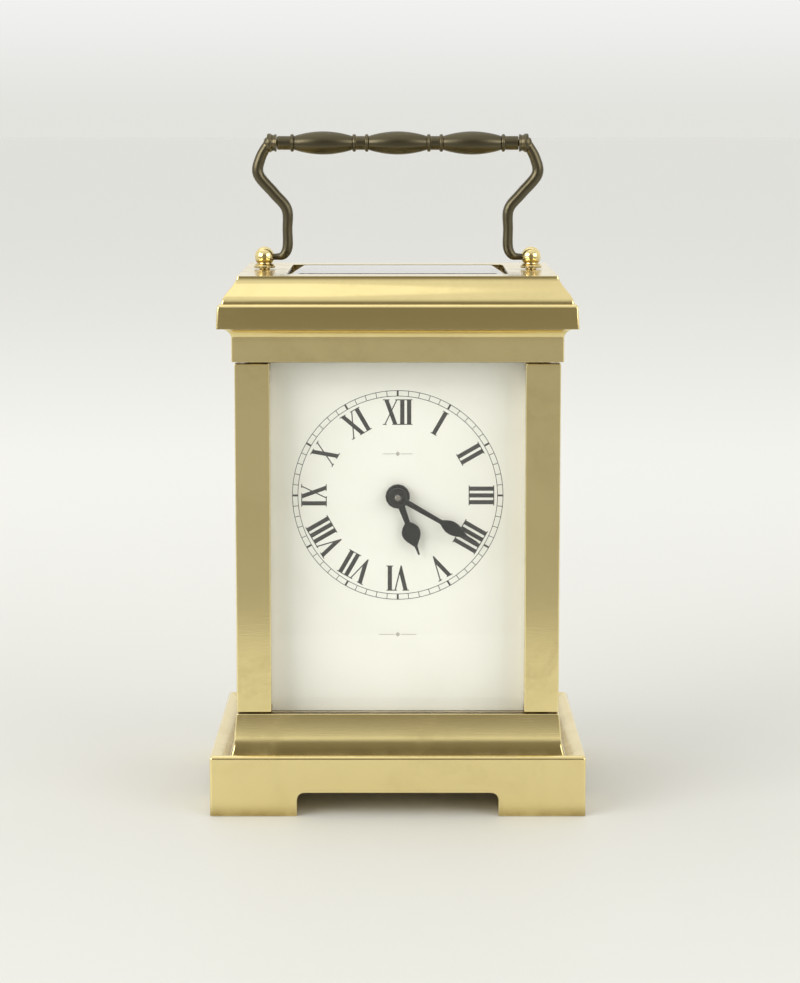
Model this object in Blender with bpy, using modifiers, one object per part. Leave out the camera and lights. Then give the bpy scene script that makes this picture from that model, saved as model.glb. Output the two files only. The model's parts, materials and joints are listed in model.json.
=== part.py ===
"""Brass carriage clock: glazed case, folding handle, hinged rear door and eight-day movement.

Frame: the origin is the middle of the base's underside, +Z is up, +X is to the right of the
dial, and the dial faces -Y.  Lengths are in metres.
"""
import math

import bmesh
import bpy
from mathutils import Matrix

MM = 0.001

# ---- Clearances ----
SEAT_GAP = 0.3 * MM  # between two pieces that rest on or sit in each other
RUN_GAP = 0.1 * MM  # round a shaft that turns, or a collar that is pushed on

# ---- Case ----
CASE_WIDTH = 70.6 * MM  # over the outer faces of the pillars
CASE_DEPTH = 58.6 * MM
PILLAR_HEIGHT = 77.4 * MM
PILLAR_SIZE = 7.6 * MM
WALL = 3.3 * MM  # rim of the base and cornice that carries the side panes

BASE_OVERHANG = 5.7 * MM  # past the pillars
FOOT_HEIGHT = 5.2 * MM
FOOT_WIDTH = 19.0 * MM
PLINTH_BAND = 8.2 * MM  # upright band above the feet
PLINTH_COVE = 3.4 * MM  # hollow moulding above the band
BASE_RAIL = 4.8 * MM  # rail under the pillars
RAIL_OVERHANG = 0.6 * MM
EDGE_ROUND = 0.8 * MM
FLOOR_DEPTH = 2.6 * MM  # floor plate's top, below the rail's top
FLOOR_THICKNESS = 3.0 * MM
FLOOR_LEDGE = 5.0 * MM  # lip that holds the floor plate

FRIEZE_HEIGHT = 5.2 * MM
CORNICE_COVE = 2.1 * MM
SLAB_HEIGHT = 5.3 * MM
SLAB_OVERHANG = 3.7 * MM
CROWN_HEIGHT = 5.9 * MM  # curved moulding above the slab
CROWN_OVERHANG = 2.9 * MM  # at its foot
CROWN_TOP_OVERHANG = -0.3 * MM
CEILING_DEPTH = 4.0 * MM  # wide hollow under the cornice
TOP_OPENING_WIDTH = 45.0 * MM
TOP_OPENING_DEPTH = 37.0 * MM
TOP_LEDGE = 1.8 * MM

# ---- Panes ----
PANE_THICKNESS = 2.0 * MM
PANE_EDGE = 1.2 * MM  # left at the rim outside the bevel
PANE_BEVEL = 4.5 * MM  # width of the bevel
PANE_INSET = 1.0 * MM  # outer face, back from the pillars' outer faces
SLOT_DEPTH = 1.9 * MM  # groove in a pillar for a pane

# ---- Rear door ----
DOOR_THICKNESS = 2.6 * MM
DOOR_STILE = 5.6 * MM
DOOR_REBATE = 1.4 * MM
DOOR_PANE_THICKNESS = 1.7 * MM
DOOR_PIN_RADIUS = 0.7 * MM
DOOR_PIN_LENGTH = 5.0 * MM
DOOR_SWING_GAP = 0.39 * MM  # between the hinge edge and the pillar beside it
KNOB_RADIUS = 2.1 * MM
KNOB_LENGTH = 4.0 * MM
KNOB_DOME = 1.3 * MM  # half the height of its flattened ball

# ---- Handle ----
POST_X = 30.0 * MM
POST_RADIUS = 2.4 * MM
POST_TENON = 3.0 * MM
PIVOT_HEIGHT = 2.8 * MM  # above the case top
PIVOT_RADIUS = 0.75 * MM
ARM_X = 24.8 * MM  # straight foot of the arm
ARM_RADIUS = 1.25 * MM
ARM_BULGE_X = 31.3 * MM
GRIP_HEIGHT = 28.2 * MM  # grip's axis above the case top
GRIP_HALF = 27.0 * MM
GRIP_NECK_RADIUS = 1.7 * MM
GRIP_OLIVE_RADIUS = 2.6 * MM
GRIP_OLIVE_LENGTH = 12.4 * MM
GRIP_OLIVE_SPACING = 16.7 * MM
BOSS_RADIUS = 2.1 * MM
BOSS_LENGTH = 2.4 * MM

# ---- Dial and hands ----
DIAL_THICKNESS = 1.0 * MM
DIAL_LAP = 0.8 * MM  # behind the pillars
DIAL_TUCK = 0.7 * MM  # into the base and the cornice
CENTRE_HEIGHT = 47.4 * MM  # hands' axis above the base
MINUTE_HAND_LENGTH = 20.2 * MM
HOUR_HAND_LENGTH = 13.8 * MM
HAND_THICKNESS = 0.5 * MM
HAND_MINUTES = 20
HAND_HOURS = 5

# ---- Movement plates ----
PLATE_WIDTH = 48.0 * MM
PLATE_TOP = 22.0 * MM  # above the hands' axis
PLATE_THICKNESS = 2.0 * MM
FRONT_PLATE_DEPTH = 5.0 * MM  # behind the dial
PLATE_SPACING = 27.6 * MM
DRAWN_SPACING = 27.6 * MM  # the train's depths are drawn for this spacing, and spread with the plates
SQUARE_REACH = 7.0 * MM  # winding and setting squares, behind the back plate
PIN_PILLAR_RADIUS = 2.2 * MM
PIN_PILLAR_INSET = 4.0 * MM

# ---- Going train: teeth, module, and the direction from one arbor to the next ----
GREAT_TEETH, GREAT_MODULE = 48, 0.62 * MM
INTER_LEAVES, INTER_TEETH, INTER_MODULE = 8, 50, 0.504 * MM
CENTRE_LEAVES, CENTRE_TEETH, CENTRE_MODULE = 10, 56, 0.3885 * MM
THIRD_LEAVES, THIRD_TEETH, THIRD_MODULE = 7, 45, 0.40 * MM
CONTRATE_LEAVES, CONTRATE_TEETH, CONTRATE_MODULE = 6, 60, 0.26 * MM
ESCAPE_LEAVES, ESCAPE_TEETH = 6, 15
CENTRE_TO_INTER = math.radians(-47.7)
INTER_TO_BARREL = math.radians(-110.8)
CENTRE_TO_THIRD = math.radians(171.2)
THIRD_TO_CONTRATE = math.radians(66.3)

BARREL_RADIUS = 13.5 * MM
BARREL_WALL = 1.0 * MM
BARREL_ARBOR_RADIUS = 1.6 * MM
HUB_RADIUS = 4.2 * MM
SQUARE_SIDE = 2.2 * MM
ARBOR_RADIUS = 0.75 * MM
PIVOT_END_RADIUS = 0.4 * MM
TUBE_RADIUS = 1.35 * MM  # hollow centre arbor
TUBE_BORE = 0.85 * MM
SET_RADIUS = 0.6 * MM
RATCHET_TEETH = 24
RATCHET_RADIUS = 5.0 * MM

# ---- Motion work ----
CANNON_LEAVES, MINUTE_TEETH, MINUTE_MODULE = 10, 30, 0.36 * MM
MINUTE_LEAVES, HOUR_TEETH, HOUR_MODULE = 8, 32, 0.36 * MM
CENTRE_TO_MINUTE = math.radians(-60)
CANNON_PIPE_RADIUS = 1.1 * MM
HOUR_PIPE_RADIUS = 1.65 * MM

# ---- Platform escapement ----
PLATFORM_WIDTH = 34.0 * MM
PLATFORM_THICKNESS = 1.5 * MM
ESCAPE_RADIUS = 3.4 * MM
ESCAPE_TO_LEVER = 4.8 * MM
LEVER_TO_BALANCE = 7.7 * MM
PALLET_CLEARANCE = 0.65 * MM
BALANCE_RADIUS = 7.0 * MM
HAIRSPRING_RADIUS = 3.1 * MM

# ---- Facets ----
STEPS_LARGE = 32
STEPS_SMALL = 14
STEPS_FINE = 10
STEPS_ARBOR = 8

# ---- Heights and depths that follow from the sizes above ----
BASE_TOP = FOOT_HEIGHT + PLINTH_BAND + PLINTH_COVE + BASE_RAIL
CORNICE_BOTTOM = BASE_TOP + PILLAR_HEIGHT
CASE_TOP = CORNICE_BOTTOM + FRIEZE_HEIGHT + CORNICE_COVE + SLAB_HEIGHT + CROWN_HEIGHT
HALF_WIDTH = CASE_WIDTH / 2
HALF_DEPTH = CASE_DEPTH / 2
INNER_X = HALF_WIDTH - PILLAR_SIZE
INNER_Y = HALF_DEPTH - PILLAR_SIZE
FLOOR_TOP = BASE_TOP - FLOOR_DEPTH
PIVOT_Z = CASE_TOP + PIVOT_HEIGHT
GRIP_Z = CASE_TOP + GRIP_HEIGHT
DIAL_FACE = -INNER_Y + SEAT_GAP
DIAL_BACK = DIAL_FACE + DIAL_THICKNESS
CENTRE = (0.0, BASE_TOP + CENTRE_HEIGHT)
PLATE_TOP_Z = CENTRE[1] + PLATE_TOP
PLATE_BOTTOM_Z = FLOOR_TOP + SEAT_GAP
DOOR_AXIS_Y = HALF_DEPTH - DOOR_THICKNESS / 2
DOOR_AXIS_X = INNER_X - DOOR_THICKNESS / 2 - DOOR_SWING_GAP

# ---- Finishes: colour, roughness, metallic ----
BRASS = ((0.80, 0.66, 0.33, 1.0), 0.22, 1.0)
GILT = ((0.86, 0.72, 0.38, 1.0), 0.30, 1.0)
STEEL = ((0.55, 0.56, 0.58, 1.0), 0.25, 1.0)
BLUED = ((0.06, 0.07, 0.16, 1.0), 0.25, 1.0)
BLACK = ((0.02, 0.02, 0.025, 1.0), 0.35, 0.6)
ENAMEL = ((0.93, 0.93, 0.90, 1.0), 0.15, 0.0)
GLASS = ((0.90, 0.94, 0.95, 0.25), 0.02, 0.0)
BRONZE = ((0.42, 0.37, 0.24, 1.0), 0.35, 1.0)

for old in list(bpy.data.objects):
    bpy.data.objects.remove(old, do_unlink=True)

PARTS = bpy.data.collections.new("carriage_clock")
CUTTERS = bpy.data.collections.new("cutters")
bpy.context.scene.collection.children.link(PARTS)
bpy.context.scene.collection.children.link(CUTTERS)


# ---------------------------------------------------------------- helpers
def behind(depth_mm):
    """World Y of a plane the given number of millimetres behind the dial."""
    return DIAL_BACK + depth_mm * MM


def polar(radius, angle, centre=(0.0, 0.0)):
    """Point at a radius and angle from a centre."""
    return (centre[0] + radius * math.cos(angle), centre[1] + radius * math.sin(angle))


def finished(obj, finish):
    """Give a part its own Principled material."""
    colour, roughness, metallic = finish
    material = bpy.data.materials.new(obj.name)
    material.use_nodes = True
    shader = material.node_tree.nodes["Principled BSDF"]
    shader.inputs["Base Color"].default_value = colour
    shader.inputs["Roughness"].default_value = roughness
    shader.inputs["Metallic"].default_value = metallic
    shader.inputs["Alpha"].default_value = colour[3]
    material.diffuse_color = colour
    obj.data.materials.clear()
    obj.data.materials.append(material)
    return obj


def linked(name, data):
    """New object in the clock's collection."""
    obj = bpy.data.objects.new(name, data)
    PARTS.objects.link(obj)
    return obj


def baked(obj):
    """Turn a curve, or a mesh with modifiers, into a plain welded mesh of the same name."""
    bpy.context.view_layer.update()
    evaluated = obj.evaluated_get(bpy.context.evaluated_depsgraph_get())
    mesh = bpy.data.meshes.new_from_object(evaluated)
    bm = bmesh.new()
    bm.from_mesh(mesh)
    bmesh.ops.remove_doubles(bm, verts=bm.verts, dist=0.0005 * MM)
    bm.to_mesh(mesh)
    bm.free()
    mesh.shade_smooth()
    mesh.set_sharp_from_angle(angle=math.radians(35))
    name = obj.name
    placed = obj.matrix_world.copy()
    bpy.data.objects.remove(obj, do_unlink=True)
    solid = linked(name, mesh)
    solid.matrix_world = placed
    return solid


def box(name, low, high):
    """Box between two corners."""
    bm = bmesh.new()
    bmesh.ops.create_cube(bm, size=1.0)
    for vert in bm.verts:
        for axis in range(3):
            middle = (low[axis] + high[axis]) / 2
            vert.co[axis] = middle + vert.co[axis] * (high[axis] - low[axis])
    mesh = bpy.data.meshes.new(name)
    bm.to_mesh(mesh)
    bm.free()
    return linked(name, mesh)


def moulded_block(name, half_width, half_depth, profile):
    """Rectangular block whose four sides follow a moulding.

    The profile gives (overhang, height) from the bottom to the top.
    """
    bm = bmesh.new()
    bmesh.ops.create_cube(bm, size=2.0)
    bm.faces.ensure_lookup_table()
    top = max(bm.faces, key=lambda face: face.calc_center_median().z)

    def place(verts, overhang, height):
        for vert in verts:
            vert.co.x = math.copysign(half_width + overhang, vert.co.x)
            vert.co.y = math.copysign(half_depth + overhang, vert.co.y)
            vert.co.z = height

    upper = list(top.verts)
    place([vert for vert in bm.verts if vert not in upper], *profile[0])
    place(upper, *profile[1])
    for overhang, height in profile[2:]:
        extruded = bmesh.ops.extrude_face_region(bm, geom=[top])["geom"]
        bmesh.ops.delete(bm, geom=[top], context="FACES_ONLY")
        top = next(item for item in extruded if isinstance(item, bmesh.types.BMFace))
        place(list(top.verts), overhang, height)
    bmesh.ops.recalc_face_normals(bm, faces=bm.faces)
    mesh = bpy.data.meshes.new(name)
    bm.to_mesh(mesh)
    bm.free()
    return linked(name, mesh)


def turned(name, profile, steps=STEPS_SMALL, ring=False):
    """Turned piece about local Z from (radius, height) points, highest first.

    A ring profile goes down the outside and back up the inside.
    """
    mesh = bpy.data.meshes.new(name)
    edges = [(i, i + 1) for i in range(len(profile) - 1)]
    if ring:
        edges.append((len(profile) - 1, 0))
    mesh.from_pydata([(radius, 0.0, height) for radius, height in profile], edges, [])
    obj = linked(name, mesh)
    screw = obj.modifiers.new("turn", "SCREW")
    screw.steps = steps
    screw.render_steps = steps
    screw.use_merge_vertices = True
    screw.merge_threshold = 0.001 * MM
    return baked(obj)


def flat(name, loops, thickness):
    """Flat piece cut from sheet: the first loop is the outline and the others are holes."""
    curve = bpy.data.curves.new(name, "CURVE")
    curve.dimensions = "2D"
    curve.fill_mode = "BOTH"
    curve.extrude = thickness / 2
    for loop in loops:
        spline = curve.splines.new("POLY")
        spline.points.add(len(loop) - 1)
        for point, (u, v) in zip(spline.points, loop):
            point.co = (u, v, 0.0, 1.0)
        spline.use_cyclic_u = True
    return baked(linked(name, curve))


def tube(name, points, radius, widths=None, sides=2):
    """Round bar along a chain of points; widths scale its radius point by point."""
    curve = bpy.data.curves.new(name, "CURVE")
    curve.dimensions = "3D"
    curve.bevel_depth = radius
    curve.bevel_resolution = sides
    curve.use_fill_caps = True
    spline = curve.splines.new("POLY")
    spline.points.add(len(points) - 1)
    for index, (point, place) in enumerate(zip(spline.points, points)):
        point.co = (*place, 1.0)
        point.radius = widths[index] if widths else 1.0
    return baked(linked(name, curve))


def guide(obj):
    """Move a tool shape to the cutters."""
    PARTS.objects.unlink(obj)
    CUTTERS.objects.link(obj)
    obj.hide_render = True
    obj.display_type = "WIRE"


def combine(obj, tool, operation):
    """Cut a tool from a part, or join it on, with an exact Boolean."""
    modifier = obj.modifiers.new(tool.name, "BOOLEAN")
    modifier.operation = operation
    modifier.object = tool
    modifier.solver = "EXACT"
    guide(tool)
    return obj


def cut(obj, tool):
    return combine(obj, tool, "DIFFERENCE")


def join(obj, tool):
    return combine(obj, tool, "UNION")


def drill(obj, name, place, radius, length, axis, steps=STEPS_SMALL):
    """Cut a round hole centred on a place, along X, Y or Z."""
    half = length / 2
    bore = turned(name, [(0, half), (radius, half), (radius, -half), (0, -half)], steps)
    bore.location = place
    bore.rotation_euler = {"X": (0, math.pi / 2, 0), "Y": (-math.pi / 2, 0, 0), "Z": (0, 0, 0)}[axis]
    return cut(obj, bore)


def arbor_along_y(obj, at, y=0.0):
    """Lay a turned piece along Y, so that its profile's heights become world Y."""
    obj.rotation_euler = (-math.pi / 2, 0, 0)
    obj.location = (at[0], y, at[1])
    return obj


def facing_front(obj, at, y_low, y_high):
    """Stand a flat piece upright between two depths: its outline's axes become X and Z."""
    obj.rotation_euler = (math.pi / 2, 0, 0)
    obj.location = (at[0], (y_low + y_high) / 2, at[1])
    return obj


def axis_empty(name, place, parts):
    """Empty on a joint's axis that carries the moving parts."""
    empty = linked(name, None)
    empty.location = place
    for part in parts:
        part.parent = empty
        part.matrix_parent_inverse = Matrix.Translation([-value for value in place])
    return empty


def hole_radius(radius, steps):
    """Radius of a polygon's corners whose flats clear a round of the given radius."""
    return radius / math.cos(math.pi / steps)


def circle_loop(radius, steps, centre=(0.0, 0.0)):
    """Round loop whose flats lie at the radius or just outside it.

    Each loop is turned by an angle of its own, so that no corners of two holes line up.
    """
    corner = hole_radius(radius, steps)
    turn = 37.0 * (centre[0] + 2 * centre[1])  # radians for centres in metres
    return [polar(corner, turn + 2 * math.pi * i / steps, centre) for i in range(steps)]


def square_loop(side):
    half = side / 2
    return [(-half, -half), (half, -half), (half, half), (-half, half)]


def gear_loop(teeth, module, phase=0.0, pinion=False):
    """Outline of a clock wheel or pinion, with one tooth centred on the phase angle."""
    step = 2 * math.pi / teeth
    if pinion:
        root, tip = (teeth / 2 - 1.25) * module, (teeth / 2 + 0.55) * module
        corners = ((-0.22 * step, root), (-0.08 * step, tip), (0.08 * step, tip), (0.22 * step, root))
    else:
        root, tip = (teeth / 2 - 0.95) * module, (teeth / 2 + 0.85) * module
        corners = ((-0.32 * step, root), (0.0, tip), (0.32 * step, root))
    return [
        polar(radius, phase + i * step + offset)
        for i in range(teeth)
        for offset, radius in corners
    ]


def crossing_loops(arms, hub, rim, arm_width, turn=0.0, arc_steps=4):
    """Windows between the arms of a crossed-out wheel."""
    loops = []
    for i in range(arms):
        middle = turn + 2 * math.pi * (i + 0.5) / arms
        loop = []
        for radius, direction in ((rim, 1), (hub, -1)):
            half = math.pi / arms - math.asin(arm_width / 2 / radius)
            for step in range(arc_steps):
                share = 2 * step / (arc_steps - 1) - 1
                loop.append(polar(radius, middle + direction * share * half))
        loops.append(loop)
    return loops


def mesh_distance(teeth, leaves, module):
    return (teeth + leaves) * module / 2


def pinion_phase(teeth, wheel_phase, leaves, direction):
    """Phase that puts a pinion's gap where the wheel's tooth is, on the line of centres."""
    tooth = 2 * math.pi / teeth
    lead = (direction - wheel_phase) % tooth
    return direction + math.pi + math.pi / leaves + lead * teeth / leaves


# ---------------------------------------------------------------- case
def arc(centre, radius, start, end, steps):
    """Points of an arc in a moulding: (overhang, height)."""
    span = math.radians(end - start)
    return [polar(radius, math.radians(start) + span * i / steps, centre) for i in range(steps + 1)]


def base_profile():
    """Feet and band, rounded edge, cove and rail, from the floor up."""
    band_top = FOOT_HEIGHT + PLINTH_BAND
    rounded = arc((BASE_OVERHANG - EDGE_ROUND, band_top - EDGE_ROUND), EDGE_ROUND, 0, 90, 3)
    cove_depth = BASE_OVERHANG - RAIL_OVERHANG - 2 * EDGE_ROUND
    cove = [
        (RAIL_OVERHANG + cove_depth * (1 - math.sin(angle)), band_top + PLINTH_COVE * (1 - math.cos(angle)))
        for angle in (math.radians(22.5 * i) for i in range(5))
    ]
    return [(BASE_OVERHANG, 0.0)] + rounded + cove + [(RAIL_OVERHANG, BASE_TOP)]


def cornice_profile():
    """Frieze, cove, slab and curved crown, from the pillars up."""
    frieze_top = CORNICE_BOTTOM + FRIEZE_HEIGHT
    slab_bottom = frieze_top + CORNICE_COVE
    slab_top = slab_bottom + SLAB_HEIGHT
    cove_depth = SLAB_OVERHANG - RAIL_OVERHANG - EDGE_ROUND / 2
    cove = [
        (RAIL_OVERHANG + cove_depth * (1 - math.cos(angle)), frieze_top + CORNICE_COVE * math.sin(angle))
        for angle in (math.radians(30 * i) for i in range(4))
    ]
    nose = arc((SLAB_OVERHANG - EDGE_ROUND, slab_top - EDGE_ROUND), EDGE_ROUND, 0, 90, 3)
    swell = CROWN_OVERHANG - CROWN_TOP_OVERHANG
    crown = [
        (CROWN_TOP_OVERHANG + swell * (1 + math.cos(math.pi * share)) / 2, slab_top + CROWN_HEIGHT * share)
        for share in (i / 8 for i in range(9))
    ]
    return [(RAIL_OVERHANG, CORNICE_BOTTOM)] + cove + [(SLAB_OVERHANG, slab_bottom)] + nose + crown


def floor_half():
    return (HALF_WIDTH - WALL, HALF_DEPTH - WALL)


def door_pin_hole(piece, name, height):
    """Hole for half of a door pin, on the door's axis."""
    bore = hole_radius(DOOR_PIN_RADIUS + RUN_GAP, STEPS_FINE)
    length = DOOR_PIN_LENGTH + 2 * SEAT_GAP
    return drill(piece, name, (DOOR_AXIS_X, DOOR_AXIS_Y, height), bore, length, "Z", STEPS_FINE)


def base_plinth():
    """Hollow moulded base: four bracket feet, and a ledge for the floor plate."""
    base = moulded_block("base_plinth", HALF_WIDTH, HALF_DEPTH, base_profile())
    half_x, half_y = floor_half()
    ledge = FLOOR_TOP - FLOOR_THICKNESS - SEAT_GAP
    cut(base, box("floor_recess", (-half_x, -half_y, ledge), (half_x, half_y, BASE_TOP + 5 * MM)))
    low = (-half_x + FLOOR_LEDGE, -half_y + FLOOR_LEDGE, -5 * MM)
    high = (half_x - FLOOR_LEDGE, half_y - FLOOR_LEDGE, ledge + 2 * MM)
    cut(base, box("base_hollow", low, high))
    span_x = HALF_WIDTH + BASE_OVERHANG - FOOT_WIDTH
    span_y = HALF_DEPTH + BASE_OVERHANG - FOOT_WIDTH
    reach = HALF_WIDTH + HALF_DEPTH
    cut(base, box("foot_gap_front", (-span_x, -reach, -5 * MM), (span_x, reach, FOOT_HEIGHT)))
    cut(base, box("foot_gap_side", (-reach, -span_y, -5 * MM), (reach, span_y, FOOT_HEIGHT)))
    door_pin_hole(base, "door_pin_hole_lower", BASE_TOP)
    return finished(base, BRASS)


def base_plate():
    """Floor plate that the movement stands on."""
    half_x, half_y = floor_half()
    low = (-half_x + SEAT_GAP, -half_y + SEAT_GAP, FLOOR_TOP - FLOOR_THICKNESS)
    high = (half_x - SEAT_GAP, half_y - SEAT_GAP, FLOOR_TOP)
    return finished(box("base_plate", low, high), BRASS)


def pane_slot():
    """Near and far faces of the groove for a pane, measured back from the case's outer face."""
    outer = PANE_INSET + PANE_THICKNESS - PANE_EDGE - SEAT_GAP
    return outer, PANE_INSET + PANE_THICKNESS + SEAT_GAP


def pillar(name, side, end):
    """Square corner pillar, grooved for a side pane and, at the front, for the front pane."""
    near, far = pane_slot()
    x_in, y_in = INNER_X, INNER_Y
    outline = [
        (x_in, y_in),
        (HALF_WIDTH - far, y_in),
        (HALF_WIDTH - far, y_in + SLOT_DEPTH),
        (HALF_WIDTH - near, y_in + SLOT_DEPTH),
        (HALF_WIDTH - near, y_in),
        (HALF_WIDTH, y_in),
        (HALF_WIDTH, HALF_DEPTH),
        (x_in, HALF_DEPTH),
    ]
    if end < 0:
        outline += [
            (x_in, HALF_DEPTH - near),
            (x_in + SLOT_DEPTH, HALF_DEPTH - near),
            (x_in + SLOT_DEPTH, HALF_DEPTH - far),
            (x_in, HALF_DEPTH - far),
        ]
    column = flat(name, [[(side * x, end * y) for x, y in outline]], PILLAR_HEIGHT - 2 * SEAT_GAP)
    column.location = (0, 0, BASE_TOP + PILLAR_HEIGHT / 2)
    return finished(column, BRASS)


def top_cornice():
    """Moulded top with a wide hollow below and a ledge round the top pane."""
    cornice = moulded_block("top_cornice", HALF_WIDTH, HALF_DEPTH, cornice_profile())
    half_x, half_y = floor_half()
    cut(cornice, box("ceiling_hollow", (-half_x, -half_y, CORNICE_BOTTOM - 5 * MM),
                     (half_x, half_y, CORNICE_BOTTOM + CEILING_DEPTH)))
    open_x, open_y = TOP_OPENING_WIDTH / 2, TOP_OPENING_DEPTH / 2
    cut(cornice, box("top_opening", (-open_x, -open_y, CORNICE_BOTTOM),
                     (open_x, open_y, CASE_TOP + 5 * MM)))
    ledge = CASE_TOP - PANE_THICKNESS - SEAT_GAP
    cut(cornice, box("top_rebate", (-open_x - TOP_LEDGE, -open_y - TOP_LEDGE, ledge),
                     (open_x + TOP_LEDGE, open_y + TOP_LEDGE, CASE_TOP + 5 * MM)))
    for side, label in ((-1, "left"), (1, "right")):
        bore = hole_radius(POST_RADIUS / 2 + RUN_GAP, STEPS_FINE)
        drill(cornice, f"post_hole_{label}", (side * POST_X, 0, CASE_TOP), bore,
              2 * (POST_TENON + SEAT_GAP), "Z", STEPS_FINE)
    door_pin_hole(cornice, "door_pin_hole_upper", CORNICE_BOTTOM)
    return finished(cornice, BRASS)


def pane(name, half_u, half_v, thickness, edge):
    """Bevelled pane lying flat, with its plain face down at zero height."""
    profile = [(0.0, 0.0), (0.0, edge), (-PANE_BEVEL, thickness)]
    return finished(moulded_block(name, half_u, half_v, profile), GLASS)


def glazing():
    """Front, side and top panes."""
    half_v = PILLAR_HEIGHT / 2 - SEAT_GAP
    middle = BASE_TOP + PILLAR_HEIGHT / 2
    reach = SLOT_DEPTH - SEAT_GAP
    inner = PANE_INSET + PANE_THICKNESS
    front = pane("front_glass", INNER_X + reach, half_v, PANE_THICKNESS, PANE_EDGE)
    front.rotation_euler = (math.pi / 2, 0, 0)
    front.location = (0, -HALF_DEPTH + inner, middle)
    for side, label in ((-1, "left"), (1, "right")):
        flank = pane(f"{label}_glass", half_v, INNER_Y + reach, PANE_THICKNESS, PANE_EDGE)
        flank.rotation_euler = (0, side * math.pi / 2, 0)
        flank.location = (side * (HALF_WIDTH - inner), 0, middle)
    spread = TOP_LEDGE - SEAT_GAP
    top = pane("top_glass", TOP_OPENING_WIDTH / 2 + spread, TOP_OPENING_DEPTH / 2 + spread,
               PANE_THICKNESS, PANE_EDGE)
    top.location = (0, 0, CASE_TOP - PANE_THICKNESS)


# ---------------------------------------------------------------- rear door
def door():
    """Hinged rear door: frame, pane and knob on a vertical axis between two fixed pins."""
    half_v = PILLAR_HEIGHT / 2 - SEAT_GAP
    middle = BASE_TOP + PILLAR_HEIGHT / 2
    radius = DOOR_THICKNESS / 2
    free_edge = -(INNER_X - SEAT_GAP)
    round_edge = [
        (DOOR_AXIS_X + radius * math.cos(a), DOOR_AXIS_Y + radius * math.sin(a))
        for a in (math.radians(-90 + 22.5 * i) for i in range(9))
    ]
    plan = [(free_edge, DOOR_AXIS_Y - radius)] + round_edge + [(free_edge, DOOR_AXIS_Y + radius)]
    frame = flat("door_frame", [plan], 2 * half_v)
    frame.location = (0, 0, middle)
    open_x = INNER_X - SEAT_GAP - DOOR_STILE
    open_z = half_v - DOOR_STILE
    inner_face = DOOR_AXIS_Y - radius
    cut(frame, box("door_window", (-open_x, 0, middle - open_z),
                   (open_x, HALF_DEPTH + 5 * MM, middle + open_z)))
    rebate_x, rebate_z = open_x + DOOR_REBATE, open_z + DOOR_REBATE
    rebate_floor = inner_face + DOOR_PANE_THICKNESS + SEAT_GAP / 2
    cut(frame, box("door_rebate", (-rebate_x, 0, middle - rebate_z),
                   (rebate_x, rebate_floor, middle + rebate_z)))
    for end, label in ((BASE_TOP, "lower"), (CORNICE_BOTTOM, "upper")):
        door_pin_hole(frame, f"door_socket_{label}", end)
        pin = turned(f"door_pin_{label}", [
            (0, DOOR_PIN_LENGTH / 2),
            (DOOR_PIN_RADIUS, DOOR_PIN_LENGTH / 2),
            (DOOR_PIN_RADIUS, -DOOR_PIN_LENGTH / 2),
            (0, -DOOR_PIN_LENGTH / 2),
        ], STEPS_FINE)
        pin.location = (DOOR_AXIS_X, DOOR_AXIS_Y, end)
        finished(pin, STEEL)
    knob_x = free_edge + DOOR_STILE / 2
    shank = KNOB_RADIUS / 3
    drill(frame, "knob_hole", (knob_x, DOOR_AXIS_Y, middle), hole_radius(shank + RUN_GAP, STEPS_FINE),
          2 * DOOR_THICKNESS, "Y", STEPS_FINE)
    finished(frame, BRASS)
    glass = pane("door_glass", rebate_x - SEAT_GAP, rebate_z - SEAT_GAP, DOOR_PANE_THICKNESS, PANE_EDGE)
    glass.rotation_euler = (-math.pi / 2, 0, 0)
    glass.location = (0, inner_face, middle)
    face = HALF_DEPTH + SEAT_GAP
    dome = [
        (KNOB_RADIUS * math.sin(a), face + KNOB_LENGTH - KNOB_DOME * (1 - math.cos(a)))
        for a in (math.radians(22.5 * i) for i in range(7))
    ]
    knob = turned("door_knob", dome + [
        (KNOB_RADIUS * 0.5, face + KNOB_LENGTH * 0.25),
        (KNOB_RADIUS * 0.75, face + KNOB_LENGTH * 0.12),
        (KNOB_RADIUS * 0.75, face),
        (shank, face),
        (shank, inner_face + SEAT_GAP),
        (0, inner_face + SEAT_GAP),
    ], STEPS_SMALL)
    finished(arbor_along_y(knob, (knob_x, middle)), BRASS)
    axis_empty("door_axis", (DOOR_AXIS_X, DOOR_AXIS_Y, middle), [frame, glass, knob])


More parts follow.
